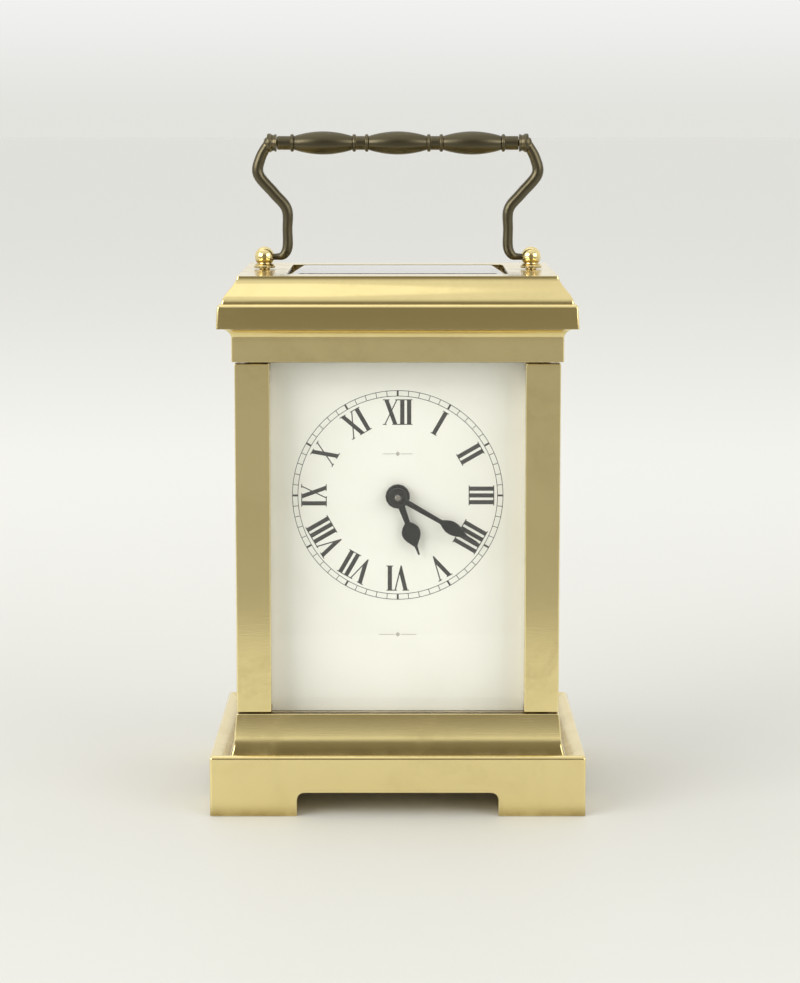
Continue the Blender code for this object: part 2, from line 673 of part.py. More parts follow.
# ---------------------------------------------------------------- handle
def handle_arm_path(side):
    """Centre line of one arm: pivot pin, upright foot, swell outwards and return to the grip."""
    rise = GRIP_Z - PIVOT_Z
    foot = ARM_X
    knots = [
        (foot + 1.2 * MM, 0.0),
        (foot, 1.6 * MM),
        (foot, 0.22 * rise),
        (foot, 0.42 * rise),
        (foot + 3.1 * MM, 0.56 * rise),
        (ARM_BULGE_X, 0.72 * rise),
        (ARM_BULGE_X - 0.6 * MM, 0.86 * rise),
        (GRIP_HALF + 1.7 * MM, rise),
    ]
    smooth = []
    for i in range(len(knots) - 1):
        before = knots[max(i - 1, 0)]
        after = knots[min(i + 2, len(knots) - 1)]
        for step in range(2):
            t = step / 2
            smooth.append(tuple(
                0.5 * (2 * p1 + (p2 - p0) * t + (2 * p0 - 5 * p1 + 4 * p2 - p3) * t * t
                       + (3 * p1 - p0 - 3 * p2 + p3) * t ** 3)
                for p0, p1, p2, p3 in zip(before, knots[i], knots[i + 1], after)
            ))
    smooth.append(knots[-1])
    pin = [(POST_X + 0.5 * MM, 0.0), (foot + 2.6 * MM, 0.0)]
    points = [(side * x, 0.0, PIVOT_Z + z) for x, z in pin + smooth]
    slim = PIVOT_RADIUS / ARM_RADIUS
    widths = [slim, slim] + [0.85 + 0.15 * math.sin(math.pi * i / len(smooth)) for i in range(len(smooth))]
    return points, widths


def handle():
    """Folding handle: two arms and a turned grip that swing together between two posts."""
    moving = []
    for side, label in ((-1, "left"), (1, "right")):
        points, widths = handle_arm_path(side)
        arm = tube(f"handle_arm_{label}", points, ARM_RADIUS, widths)
        boss_low = GRIP_HALF + SEAT_GAP
        half = BOSS_LENGTH / 2
        boss = turned(f"arm_boss_{label}", [
            (0, half + 0.5 * MM),
            (BOSS_RADIUS * 0.6, half + 0.4 * MM),
            (BOSS_RADIUS, half - 0.4 * MM),
            (BOSS_RADIUS, -half),
            (0, -half),
        ], STEPS_SMALL)
        boss.rotation_euler = (0, side * math.pi / 2, 0)
        boss.location = (side * (boss_low + half), 0, GRIP_Z)
        join(arm, boss)
        tenon = GRIP_NECK_RADIUS / 2
        drill(arm, f"tenon_hole_{label}", (side * boss_low, 0, GRIP_Z),
              hole_radius(tenon + RUN_GAP, STEPS_FINE), 3.4 * MM, "X", STEPS_FINE)
        moving.append(finished(arm, BRONZE))

        post = turned(f"handle_post_{label}", [
            (0, PIVOT_HEIGHT + POST_RADIUS * 0.95),
            (POST_RADIUS * 0.55, PIVOT_HEIGHT + POST_RADIUS * 0.8),
            (POST_RADIUS * 0.9, PIVOT_HEIGHT + POST_RADIUS * 0.35),
            (POST_RADIUS * 0.9, PIVOT_HEIGHT - POST_RADIUS * 0.4),
            (POST_RADIUS * 0.72, PIVOT_HEIGHT - POST_RADIUS * 0.65),
            (POST_RADIUS, SEAT_GAP + 0.6 * MM),
            (POST_RADIUS, SEAT_GAP),
            (POST_RADIUS / 2, SEAT_GAP),
            (POST_RADIUS / 2, -POST_TENON),
            (0, -POST_TENON),
        ], STEPS_SMALL)
        post.location = (side * POST_X, 0, CASE_TOP)
        drill(post, f"pivot_hole_{label}", (side * (POST_X - 1.7 * MM), 0, PIVOT_Z),
              hole_radius(PIVOT_RADIUS + RUN_GAP, STEPS_FINE), 5.2 * MM, "X", STEPS_FINE)
        finished(post, BRASS)

    def olive(middle):
        """Swelling of the grip, from its upper end down."""
        return [
            (GRIP_NECK_RADIUS + (GRIP_OLIVE_RADIUS - GRIP_NECK_RADIUS) * math.sin(math.pi * i / 6),
             middle + GRIP_OLIVE_LENGTH * (0.5 - i / 6))
            for i in range(7)
        ]

    tenon_end = GRIP_HALF + 1.3 * MM
    profile = [(0, tenon_end), (GRIP_NECK_RADIUS / 2, tenon_end), (GRIP_NECK_RADIUS / 2, GRIP_HALF),
               (GRIP_NECK_RADIUS, GRIP_HALF)]
    for middle in (GRIP_OLIVE_SPACING, 0.0, -GRIP_OLIVE_SPACING):
        profile += olive(middle)
    profile += [(GRIP_NECK_RADIUS, -GRIP_HALF), (GRIP_NECK_RADIUS / 2, -GRIP_HALF),
                (GRIP_NECK_RADIUS / 2, -tenon_end), (0, -tenon_end)]
    grip = turned("handle_grip", profile, STEPS_SMALL)
    grip.rotation_euler = (0, math.pi / 2, 0)
    grip.location = (0, 0, GRIP_Z)
    moving.append(finished(grip, BRONZE))
    axis_empty("handle_axis", (0, 0, PIVOT_Z), moving)


# ---------------------------------------------------------------- dial and hands
DIAL_FEET = [(-18.0 * MM, 16.0 * MM), (18.0 * MM, 16.0 * MM), (0.0, -40.0 * MM)]  # from the centre
DIAL_FOOT_RADIUS = 1.0 * MM
FRONT_PLATE = (DIAL_BACK + FRONT_PLATE_DEPTH, DIAL_BACK + FRONT_PLATE_DEPTH + PLATE_THICKNESS)
BACK_PLATE = (FRONT_PLATE[1] + PLATE_SPACING, FRONT_PLATE[1] + PLATE_SPACING + PLATE_THICKNESS)


def between(depth_mm):
    """World Y of a plane of the train, drawn in millimetres behind the front plate."""
    return FRONT_PLATE[1] + depth_mm * MM * PLATE_SPACING / DRAWN_SPACING


def from_centre(offset):
    return (CENTRE[0] + offset[0], CENTRE[1] + offset[1])


def dial():
    """Rectangular dial plate with its feet, pierced for the hands."""
    half_u = INNER_X + DIAL_LAP
    bottom, top = BASE_TOP - DIAL_TUCK, CORNICE_BOTTOM + DIAL_TUCK
    outline = [(-half_u, bottom - CENTRE[1]), (half_u, bottom - CENTRE[1]),
               (half_u, top - CENTRE[1]), (-half_u, top - CENTRE[1])]
    hole = circle_loop(HOUR_PIPE_RADIUS + 3 * RUN_GAP, STEPS_SMALL)
    plate = facing_front(flat("dial_plate", [outline, hole], DIAL_THICKNESS), CENTRE, DIAL_FACE, DIAL_BACK)
    for number, offset in enumerate(DIAL_FEET):
        start, end = DIAL_BACK - DIAL_THICKNESS / 2, FRONT_PLATE[1]
        foot = turned(f"dial_foot_{number}", [
            (0, end), (DIAL_FOOT_RADIUS, end), (DIAL_FOOT_RADIUS, start), (0, start),
        ], STEPS_FINE)
        join(plate, arbor_along_y(foot, from_centre(offset)))
    return finished(plate, ENAMEL)


def hand_loops(length, hub, bore, shaft, spade_low, spade_high, spade_width, turn):
    """Spade hand pointing up before it is turned clockwise: hub, tapered shaft, spade and tip."""
    start = math.asin(shaft / hub)
    right = [(shaft * 0.8, spade_low)]
    for i in range(1, 7):
        share = i / 7
        width = spade_width * math.sin(math.pi * share ** 0.8) ** 0.8
        right.append((max(width, shaft * 0.6), spade_low + (spade_high - spade_low) * share))
    right.append((shaft * 0.45, spade_high))
    right.append((shaft * 0.25, length))
    left = [(-u, v) for u, v in reversed(right)]
    around = [
        (hub * math.sin(a), hub * math.cos(a))
        for a in (-start - (2 * math.pi - 2 * start) * i / 14 for i in range(15))
    ]
    loops = [right + left + around, circle_loop(bore, STEPS_FINE)]
    cos, sin = math.cos(turn), math.sin(turn)
    return [[(u * cos + v * sin, v * cos - u * sin) for u, v in loop] for loop in loops]


MINUTE_HAND_Y = DIAL_FACE - 3.2 * MM
HOUR_HAND_Y = DIAL_FACE - 1.9 * MM
MINUTE_TURN = 2 * math.pi * HAND_MINUTES / 60
HOUR_TURN = 2 * math.pi * (HAND_HOURS + HAND_MINUTES / 60) / 12


def hands():
    """Minute hand, hour hand and the collet that holds them on."""
    loops = hand_loops(MINUTE_HAND_LENGTH, 2.0 * MM, CANNON_PIPE_RADIUS + RUN_GAP, 0.62 * MM,
                       11.0 * MM, 17.4 * MM, 1.5 * MM, MINUTE_TURN)
    minute = facing_front(flat("minute_hand", loops, HAND_THICKNESS), CENTRE,
                          MINUTE_HAND_Y, MINUTE_HAND_Y + HAND_THICKNESS)
    finished(minute, BLACK)
    loops = hand_loops(HOUR_HAND_LENGTH, 2.7 * MM, HOUR_PIPE_RADIUS + RUN_GAP, 0.75 * MM,
                       6.2 * MM, 11.8 * MM, 2.1 * MM, HOUR_TURN)
    hour = facing_front(flat("hour_hand", loops, HAND_THICKNESS), CENTRE,
                        HOUR_HAND_Y, HOUR_HAND_Y + HAND_THICKNESS)
    finished(hour, BLACK)
    near = MINUTE_HAND_Y - RUN_GAP
    far = near - 0.9 * MM
    inner = hole_radius(SET_RADIUS + RUN_GAP, STEPS_SMALL)
    collet = turned("hand_collet", [
        (1.5 * MM, near), (1.5 * MM, near - 0.4 * MM), (1.0 * MM, far), (inner, far), (inner, near),
    ], STEPS_SMALL, ring=True)
    finished(arbor_along_y(collet, CENTRE), BRASS)


# ---------------------------------------------------------------- movement: places of the arbors
INTER = polar(mesh_distance(INTER_TEETH, CENTRE_LEAVES, INTER_MODULE), CENTRE_TO_INTER, CENTRE)
BARREL = polar(mesh_distance(GREAT_TEETH, INTER_LEAVES, GREAT_MODULE), INTER_TO_BARREL, INTER)
THIRD = polar(mesh_distance(CENTRE_TEETH, THIRD_LEAVES, CENTRE_MODULE), CENTRE_TO_THIRD, CENTRE)
CONTRATE = polar(mesh_distance(THIRD_TEETH, CONTRATE_LEAVES, THIRD_MODULE), THIRD_TO_CONTRATE, THIRD)
MINUTE = polar(mesh_distance(MINUTE_TEETH, CANNON_LEAVES, MINUTE_MODULE), CENTRE_TO_MINUTE, CENTRE)
CONTRATE_RADIUS = CONTRATE_TEETH * CONTRATE_MODULE / 2
CONTRATE_FACE = between(16.0)  # front of the contrate wheel's rim
CONTRATE_TOOTH = 0.85 * MM
ESCAPE_PINION_RADIUS = ESCAPE_LEAVES * CONTRATE_MODULE / 2
ESCAPE_Y = CONTRATE_FACE - 0.65 * MM - ESCAPE_PINION_RADIUS
ESCAPE = (CONTRATE[0], ESCAPE_Y)
LEVER = (ESCAPE[0] + ESCAPE_TO_LEVER, ESCAPE_Y)
BALANCE = (LEVER[0] + LEVER_TO_BALANCE, ESCAPE_Y)
PLATFORM_BOTTOM = PLATE_TOP_Z + SEAT_GAP
PLATFORM_TOP = PLATFORM_BOTTOM + PLATFORM_THICKNESS


def pin_pillar_places():
    half = PLATE_WIDTH / 2 - PIN_PILLAR_INSET
    low, high = PLATE_BOTTOM_Z + PIN_PILLAR_INSET, PLATE_TOP_Z - PIN_PILLAR_INSET
    return {
        "lower_left": (-half, low),
        "lower_right": (half, low),
        "upper_left": (-half, high),
        "upper_right": (half, high),
    }


def plate_outline(holes):
    half = PLATE_WIDTH / 2
    low, high = PLATE_BOTTOM_Z - CENTRE[1], PLATE_TOP_Z - CENTRE[1]
    corner = 2.5 * MM
    outline = [(-half, low), (half, low), (half, high - corner), (half - corner, high),
               (-half + corner, high), (-half, high - corner)]
    loops = [outline]
    for (x, z), radius, steps in holes:
        loops.append(circle_loop(radius, steps, (x - CENTRE[0], z - CENTRE[1])))
    return loops


def plates():
    """Front and back plates, drilled for the pivots, with four turned pillars between them."""
    pivot = PIVOT_END_RADIUS + RUN_GAP
    rivet = PIN_PILLAR_RADIUS * 0.45
    shared = [(INTER, pivot, STEPS_FINE), (THIRD, pivot, STEPS_FINE), (CONTRATE, pivot, STEPS_FINE),
              (CENTRE, TUBE_RADIUS + RUN_GAP, STEPS_FINE)]
    shared += [(place, rivet + RUN_GAP, STEPS_FINE) for place in pin_pillar_places().values()]
    foot_holes = [(from_centre(offset), DIAL_FOOT_RADIUS + RUN_GAP, STEPS_FINE) for offset in DIAL_FEET]
    front_holes = shared + foot_holes
    front_holes.append((BARREL, BARREL_ARBOR_RADIUS * 0.75 + RUN_GAP, STEPS_SMALL))
    back_holes = shared + [(BARREL, BARREL_ARBOR_RADIUS + RUN_GAP, STEPS_SMALL)]
    front = flat("front_plate", plate_outline(front_holes), PLATE_THICKNESS)
    facing_front(front, CENTRE, *FRONT_PLATE)
    stud_start = FRONT_PLATE[0] + PLATE_THICKNESS / 2
    stud_end = DIAL_BACK + 1.2 * MM
    stud = turned("minute_stud", [
        (0, stud_start), (SET_RADIUS, stud_start), (SET_RADIUS, stud_end), (0, stud_end),
    ], STEPS_FINE)
    join(front, arbor_along_y(stud, MINUTE))
    finished(front, GILT)
    back = flat("back_plate", plate_outline(back_holes), PLATE_THICKNESS)
    facing_front(back, CENTRE, *BACK_PLATE)
    finished(back, GILT)
    low, high = FRONT_PLATE[1] + RUN_GAP, BACK_PLATE[0] - RUN_GAP
    half, middle = (high - low) / 2, (high + low) / 2
    stub = half + PLATE_THICKNESS * 0.9
    for label, place in pin_pillar_places().items():
        post = turned(f"movement_pillar_{label}", [
            (0, stub), (rivet, stub), (rivet, half),
            (PIN_PILLAR_RADIUS, half), (PIN_PILLAR_RADIUS, half * 0.86),
            (PIN_PILLAR_RADIUS * 0.65, half * 0.76), (PIN_PILLAR_RADIUS * 0.65, half * 0.15),
            (PIN_PILLAR_RADIUS * 0.9, 0),
            (PIN_PILLAR_RADIUS * 0.65, -half * 0.15), (PIN_PILLAR_RADIUS * 0.65, -half * 0.76),
            (PIN_PILLAR_RADIUS, -half * 0.86), (PIN_PILLAR_RADIUS, -half),
            (rivet, -half), (rivet, -stub), (0, -stub),
        ], STEPS_FINE)
        finished(arbor_along_y(post, place, middle), GILT)


# ---------------------------------------------------------------- movement: wheels and arbors
def wheel(name, teeth, module, at, y_low, y_high, phase, hub, bore, arms=4):
    """Crossed-out wheel on a plain bore."""
    rim = (teeth / 2 - 0.95) * module - 1.3 * MM
    loops = [gear_loop(teeth, module, phase), circle_loop(bore, STEPS_FINE)]
    loops += crossing_loops(arms, hub, rim, 1.1 * MM, phase)
    return finished(facing_front(flat(name, loops, y_high - y_low), at, y_low, y_high), GILT)


def pinion_arbor(name, leaves, module, at, pinion_low, pinion_high, phase, seat, collar):
    """Steel arbor with pivots in both plates, a cut pinion and a seat for its wheel."""
    start, end = FRONT_PLATE[0] + RUN_GAP, BACK_PLATE[1] - RUN_GAP
    low, high = FRONT_PLATE[1] + 2 * RUN_GAP, BACK_PLATE[0] - 2 * RUN_GAP
    seat_low, seat_high = seat
    profile = [(0, end), (PIVOT_END_RADIUS, end), (PIVOT_END_RADIUS, high), (ARBOR_RADIUS, high)]
    if collar > 0:
        profile += [(ARBOR_RADIUS, seat_high + 0.8 * MM), (ARBOR_RADIUS * 1.8, seat_high + 0.8 * MM),
                    (ARBOR_RADIUS * 1.8, seat_high + RUN_GAP), (ARBOR_RADIUS, seat_high + RUN_GAP)]
    else:
        profile += [(ARBOR_RADIUS, seat_low - RUN_GAP), (ARBOR_RADIUS * 1.8, seat_low - RUN_GAP),
                    (ARBOR_RADIUS * 1.8, seat_low - 0.8 * MM), (ARBOR_RADIUS, seat_low - 0.8 * MM)]
    profile += [(ARBOR_RADIUS, low), (PIVOT_END_RADIUS, low), (PIVOT_END_RADIUS, start), (0, start)]
    arbor = arbor_along_y(turned(name, profile, STEPS_ARBOR), at)
    leaves_solid = flat(f"{name}_leaves", [gear_loop(leaves, module, phase, pinion=True)],
                        pinion_high - pinion_low)
    join(arbor, facing_front(leaves_solid, at, pinion_low, pinion_high))
    return finished(arbor, STEEL)


def train():
    """Intermediate, centre, third and contrate arbors with their wheels, all in mesh."""
    inter_phase = CENTRE_TO_INTER + math.pi
    barrel_phase = INTER_TO_BARREL + math.pi
    bore = ARBOR_RADIUS + RUN_GAP
    low, high = between(1.2), between(2.4)
    wheel("intermediate_wheel", INTER_TEETH, INTER_MODULE, INTER, low, high, inter_phase, 2.6 * MM, bore)
    phase = pinion_phase(GREAT_TEETH, barrel_phase, INTER_LEAVES, barrel_phase)
    pinion_arbor("intermediate_arbor", INTER_LEAVES, GREAT_MODULE, INTER, between(20.1), between(25.1),
                 phase, (low, high), 1)

    centre_phase = CENTRE_TO_THIRD
    low, high = between(17.6), between(18.8)
    wheel("centre_wheel", CENTRE_TEETH, CENTRE_MODULE, CENTRE, low, high, centre_phase, 3.2 * MM,
          TUBE_RADIUS + RUN_GAP)
    phase = pinion_phase(INTER_TEETH, inter_phase, CENTRE_LEAVES, inter_phase)
    outer_end, inner_end = BACK_PLATE[1] - RUN_GAP, FRONT_PLATE[0] + RUN_GAP
    inner = hole_radius(TUBE_BORE, STEPS_FINE)
    tube_arbor = turned("centre_arbor", [
        (TUBE_RADIUS, outer_end), (TUBE_RADIUS, low - RUN_GAP),
        (TUBE_RADIUS * 1.6, low - RUN_GAP), (TUBE_RADIUS * 1.6, low - 0.9 * MM),
        (TUBE_RADIUS, low - 0.9 * MM), (TUBE_RADIUS, inner_end), (inner, inner_end), (inner, outer_end),
    ], STEPS_FINE, ring=True)
    arbor_along_y(tube_arbor, CENTRE)
    leaves_low, leaves_high = between(0.6), between(3.3)
    leaves = flat("centre_leaves", [gear_loop(CENTRE_LEAVES, INTER_MODULE, phase, pinion=True),
                                    circle_loop((TUBE_BORE + TUBE_RADIUS) / 2, STEPS_FINE)],
                  leaves_high - leaves_low)
    join(tube_arbor, facing_front(leaves, CENTRE, leaves_low, leaves_high))
    finished(tube_arbor, STEEL)

    third_phase = THIRD_TO_CONTRATE
    low, high = between(9.6), between(10.6)
    wheel("third_wheel", THIRD_TEETH, THIRD_MODULE, THIRD, low, high, third_phase, 2.4 * MM, bore)
    phase = pinion_phase(CENTRE_TEETH, centre_phase, THIRD_LEAVES, CENTRE_TO_THIRD)
    pinion_arbor("third_arbor", THIRD_LEAVES, CENTRE_MODULE, THIRD, between(16.1), between(20.1),
                 phase, (low, high), 1)

    phase = pinion_phase(THIRD_TEETH, third_phase, CONTRATE_LEAVES, THIRD_TO_CONTRATE)
    pinion_arbor("contrate_arbor", CONTRATE_LEAVES, THIRD_MODULE, CONTRATE, between(8.1), between(12.1),
                 phase, (CONTRATE_FACE, CONTRATE_FACE + 1.0 * MM), 1)
    contrate_wheel(bore)


def contrate_wheel(bore):
    """Crown wheel: a crossed disc whose rim carries teeth that point to the front."""
    width = 0.8 * MM
    thick = 1.0 * MM
    outer, inner = CONTRATE_RADIUS + width / 2, CONTRATE_RADIUS - width / 2
    columns = 2 * CONTRATE_TEETH
    rim = turned("contrate_wheel", [(outer, thick), (outer, 0), (inner, 0), (inner, thick)],
                 columns, ring=True)
    for vert in rim.data.vertices:
        column = round(math.atan2(vert.co.y, vert.co.x) / (2 * math.pi / columns) - CONTRATE_TEETH / 2)
        if vert.co.z < thick / 2 and column % 2 == 0:
            vert.co.z -= CONTRATE_TOOTH
    arbor_along_y(rim, CONTRATE, CONTRATE_FACE)
    hub, arm = 2.2 * MM, 0.55 * MM
    cross = []
    for quarter in range(4):
        ahead = quarter * math.pi / 2
        spread = math.asin(arm / CONTRATE_RADIUS)
        cross += [polar(CONTRATE_RADIUS, ahead - spread), polar(CONTRATE_RADIUS, ahead + spread)]
        cross += [polar(hub, ahead + math.radians(turn)) for turn in (18, 45, 72)]
    web = flat("contrate_web", [cross, circle_loop(bore, STEPS_FINE)], 0.7 * MM)
    join(rim, facing_front(web, CONTRATE, CONTRATE_FACE + 0.15 * MM, CONTRATE_FACE + 0.85 * MM))
    return finished(rim, GILT)


def barrel():
    """Going barrel with its great wheel, cap, spring and arbor."""
    low, high = between(4.1), between(23.1)
    inner = BARREL_RADIUS - BARREL_WALL
    floor = high - 1.2 * MM
    bore = hole_radius(BARREL_ARBOR_RADIUS + RUN_GAP, STEPS_LARGE)
    drum = turned("mainspring_barrel", [
        (BARREL_RADIUS, high), (BARREL_RADIUS, low), (inner, low), (inner, floor),
        (bore, floor), (bore, high),
    ], STEPS_LARGE, ring=True)
    arbor_along_y(drum, BARREL)
    teeth_low, teeth_high = between(21.6), between(23.6)
    teeth = flat("great_teeth", [gear_loop(GREAT_TEETH, GREAT_MODULE, INTER_TO_BARREL + math.pi),
                                 circle_loop(BARREL_RADIUS - BARREL_WALL / 2, STEPS_LARGE)],
                 teeth_high - teeth_low)
    join(drum, facing_front(teeth, BARREL, teeth_low, teeth_high))
    finished(drum, GILT)

    cap_radius = inner * math.cos(math.pi / STEPS_LARGE) - RUN_GAP
    cap_low = low + SEAT_GAP
    cap_high = cap_low + 0.9 * MM
    cap = turned("barrel_cap", [
        (cap_radius, cap_high), (cap_radius, cap_low), (bore, cap_low), (bore, cap_high),
    ], STEPS_LARGE, ring=True)
    finished(arbor_along_y(cap, BARREL), GILT)

    spring_low, spring_high = cap_high + SEAT_GAP, floor - SEAT_GAP
    turns, per_turn = 4, 14
    start, end = HUB_RADIUS + 0.5 * MM, cap_radius - 0.6 * MM
    count = turns * per_turn

    def coil(thickness):
        return [
            polar(start + (end - start) * i / count + thickness, 2 * math.pi * i / per_turn)
            for i in range(count + 1)
        ]

    spring = flat("mainspring", [coil(0.5 * MM) + coil(0.0)[::-1]], spring_high - spring_low)
    finished(facing_front(spring, BARREL, spring_low, spring_high), STEEL)

    start, end = FRONT_PLATE[0] + RUN_GAP, BACK_PLATE[1] + SEAT_GAP
    radius, pivot = BARREL_ARBOR_RADIUS, BARREL_ARBOR_RADIUS * 0.75
    arbor = turned("barrel_arbor", [
        (0, end), (radius, end), (radius, spring_high - RUN_GAP), (HUB_RADIUS, spring_high - RUN_GAP),
        (HUB_RADIUS, spring_low + RUN_GAP), (radius, spring_low + RUN_GAP),
        (radius, FRONT_PLATE[1] + RUN_GAP), (pivot, FRONT_PLATE[1] + RUN_GAP), (pivot, start), (0, start),
    ], STEPS_SMALL)
    arbor_along_y(arbor, BARREL)
    half = SQUARE_SIDE / 2
    join(arbor, box("winding_square", (BARREL[0] - half, end - 1.0 * MM, BARREL[1] - half),
                    (BARREL[0] + half, BACK_PLATE[1] + SQUARE_REACH, BARREL[1] + half)))
    finished(arbor, STEEL)


def ratchet_loop():
    """Saw teeth: a radial face and a long slope."""
    step = 2 * math.pi / RATCHET_TEETH
    root = RATCHET_RADIUS - 0.7 * MM
    loop = []
    for i in range(RATCHET_TEETH):
        loop.append(polar(root, i * step))
        loop.append(polar(RATCHET_RADIUS, i * step + 0.12 * step))
    return loop


CLICK_DISTANCE = 9.4 * MM
CLICK_DIRECTION = math.radians(152)
CLICK = polar(CLICK_DISTANCE, CLICK_DIRECTION, BARREL)


def click_work():
    """Ratchet wheel on the winding square, the click that holds it, and the click's spring."""
    low, high = BACK_PLATE[1] + 2 * SEAT_GAP, BACK_PLATE[1] + 1.6 * MM
    loops = [ratchet_loop(), square_loop(SQUARE_SIDE + 2 * RUN_GAP)]
    finished(facing_front(flat("ratchet_wheel", loops, high - low), BARREL, low, high), STEEL)

    nose = polar(RATCHET_RADIUS + RUN_GAP * 1.5, math.radians(98), BARREL)
    length = math.hypot(nose[0] - CLICK[0], nose[1] - CLICK[1])
    heading = math.atan2(nose[1] - CLICK[1], nose[0] - CLICK[0])
    boss = 1.5 * MM
    shape = [(length, 0.0), (length - 0.5 * MM, 1.0 * MM), (boss, 1.2 * MM)]
    shape += [polar(boss, math.radians(60 + 30 * i)) for i in range(9)]
    shape += [(length * 0.55, -0.2 * MM)]
    cos, sin = math.cos(heading), math.sin(heading)
    shape = [(u * cos - v * sin, u * sin + v * cos) for u, v in shape]
    screw_radius = 0.7 * MM
    loops = [shape, circle_loop(screw_radius + RUN_GAP, STEPS_FINE)]
    finished(facing_front(flat("click", loops, high - low), CLICK, low, high), STEEL)

    head_low = high + RUN_GAP
    screw = turned("click_screw", [
        (0, head_low + 0.8 * MM), (1.2 * MM, head_low + 0.8 * MM), (1.2 * MM, head_low),
        (screw_radius, head_low), (screw_radius, BACK_PLATE[1] + RUN_GAP), (0, BACK_PLATE[1] + RUN_GAP),
    ], STEPS_FINE)
    finished(arbor_along_y(screw, CLICK), BLUED)

    back = (CLICK[0] + 3.2 * MM * cos - 1.75 * MM * sin, CLICK[1] + 3.2 * MM * sin + 1.75 * MM * cos)
    root = (CLICK[0] - 5.0 * MM, CLICK[1] + 9.0 * MM)
    bow = [
        (root[0] + (back[0] - root[0]) * t - 2.2 * MM * math.sin(math.pi * t) * 0.5,
         root[1] + (back[1] - root[1]) * t - 2.2 * MM * math.sin(math.pi * t))
        for t in (i / 10 for i in range(11))
    ]
    depth = (low + high) / 2
    finished(tube("click_spring", [(x, depth, z) for x, z in bow], 0.22 * MM, sides=1), STEEL)


def motion_work():
    """Hand-setting arbor, cannon pinion, minute wheel and hour wheel behind the dial."""
    front_end = MINUTE_HAND_Y - RUN_GAP - 1.0 * MM
    back_end = BACK_PLATE[1] + SEAT_GAP
    arbor = turned("set_arbor", [
        (0, back_end), (SET_RADIUS, back_end), (SET_RADIUS, front_end), (0, front_end),
    ], STEPS_FINE)
    arbor_along_y(arbor, CENTRE)
    half = SQUARE_SIDE / 2
    join(arbor, box("set_square", (CENTRE[0] - half, back_end - 0.2 * MM, CENTRE[1] - half),
                    (CENTRE[0] + half, BACK_PLATE[1] + SQUARE_REACH, CENTRE[1] + half)))
    finished(arbor, STEEL)

    bore = hole_radius(SET_RADIUS + RUN_GAP, STEPS_FINE)
    pipe_end = MINUTE_HAND_Y - RUN_GAP / 2
    cannon_low, cannon_high = behind(2.9), behind(4.7)
    cannon = turned("cannon_pinion", [
        (CANNON_PIPE_RADIUS, cannon_high), (CANNON_PIPE_RADIUS, pipe_end),
        (bore, pipe_end), (bore, cannon_high),
    ], STEPS_FINE, ring=True)
    arbor_along_y(cannon, CENTRE)
    minute_phase = CENTRE_TO_MINUTE + math.pi
    phase = pinion_phase(MINUTE_TEETH, minute_phase, CANNON_LEAVES, minute_phase)
    leaves = flat("cannon_leaves", [gear_loop(CANNON_LEAVES, MINUTE_MODULE, phase, pinion=True),
                                    circle_loop((bore + CANNON_PIPE_RADIUS) / 2, STEPS_FINE)],
                  cannon_high - cannon_low)
    join(cannon, facing_front(leaves, CENTRE, cannon_low, cannon_high))
    finished(cannon, STEEL)

    wheel_low, wheel_high = behind(3.5), behind(4.4)
    hour_phase = CENTRE_TO_MINUTE
    phase = pinion_phase(HOUR_TEETH, hour_phase, MINUTE_LEAVES, CENTRE_TO_MINUTE)
    minute = flat("minute_wheel", [gear_loop(MINUTE_TEETH, MINUTE_MODULE, minute_phase)],
                  wheel_high - wheel_low)
    facing_front(minute, MINUTE, wheel_low, wheel_high)
    pinion_low = behind(1.5)
    leaves = flat("minute_leaves", [gear_loop(MINUTE_LEAVES, HOUR_MODULE, phase, pinion=True)],
                  wheel_low + 0.3 * MM - pinion_low)
    join(minute, facing_front(leaves, MINUTE, pinion_low, wheel_low + 0.3 * MM))
    drill(minute, "minute_bore", (MINUTE[0], (pinion_low + wheel_high) / 2, MINUTE[1]),
          hole_radius(SET_RADIUS + RUN_GAP, STEPS_FINE), 6 * MM, "Y", STEPS_FINE)
    finished(minute, GILT)

    low, high = behind(1.8), behind(2.6)
    pipe_end = HOUR_HAND_Y - RUN_GAP / 2
    inner = hole_radius(CANNON_PIPE_RADIUS + RUN_GAP, STEPS_SMALL)
    hour = turned("hour_wheel", [
        (HOUR_PIPE_RADIUS, high), (HOUR_PIPE_RADIUS, pipe_end), (inner, pipe_end), (inner, high),
    ], STEPS_SMALL, ring=True)
    arbor_along_y(hour, CENTRE)
    disc = flat("hour_teeth", [gear_loop(HOUR_TEETH, HOUR_MODULE, hour_phase),
                               circle_loop((inner + HOUR_PIPE_RADIUS) / 2, STEPS_SMALL)], high - low)
    join(hour, facing_front(disc, CENTRE, low, high))
    finished(hour, GILT)


# ---------------------------------------------------------------- platform escapement
LEVER_LOW = PLATFORM_TOP + 1.6 * MM
LEVER_HIGH = LEVER_LOW + 0.5 * MM
TRAIN_COCK = (LEVER_HIGH + 1.0 * MM, LEVER_HIGH + 1.8 * MM)
BALANCE_LOW = TRAIN_COCK[1] + 0.6 * MM
BALANCE_HIGH = BALANCE_LOW + 0.8 * MM
SPRING_Z = BALANCE_HIGH + 1.2 * MM
COCK = (SPRING_Z + 0.9 * MM, SPRING_Z + 2.0 * MM)
REGULATOR = (COCK[1] + 2 * RUN_GAP, COCK[1] + 0.7 * MM)
JEWEL_RADIUS = 1.0 * MM
FINE_RADIUS = 0.25 * MM  # platform arbors


def flat_at(name, loops, at, z_low, z_high):
    """Flat piece lying level between two heights."""
    piece = flat(name, loops, z_high - z_low)
    piece.location = (at[0], at[1], (z_low + z_high) / 2)
    return piece


def shifted(place, origin):
    return (place[0] - origin[0], place[1] - origin[1])


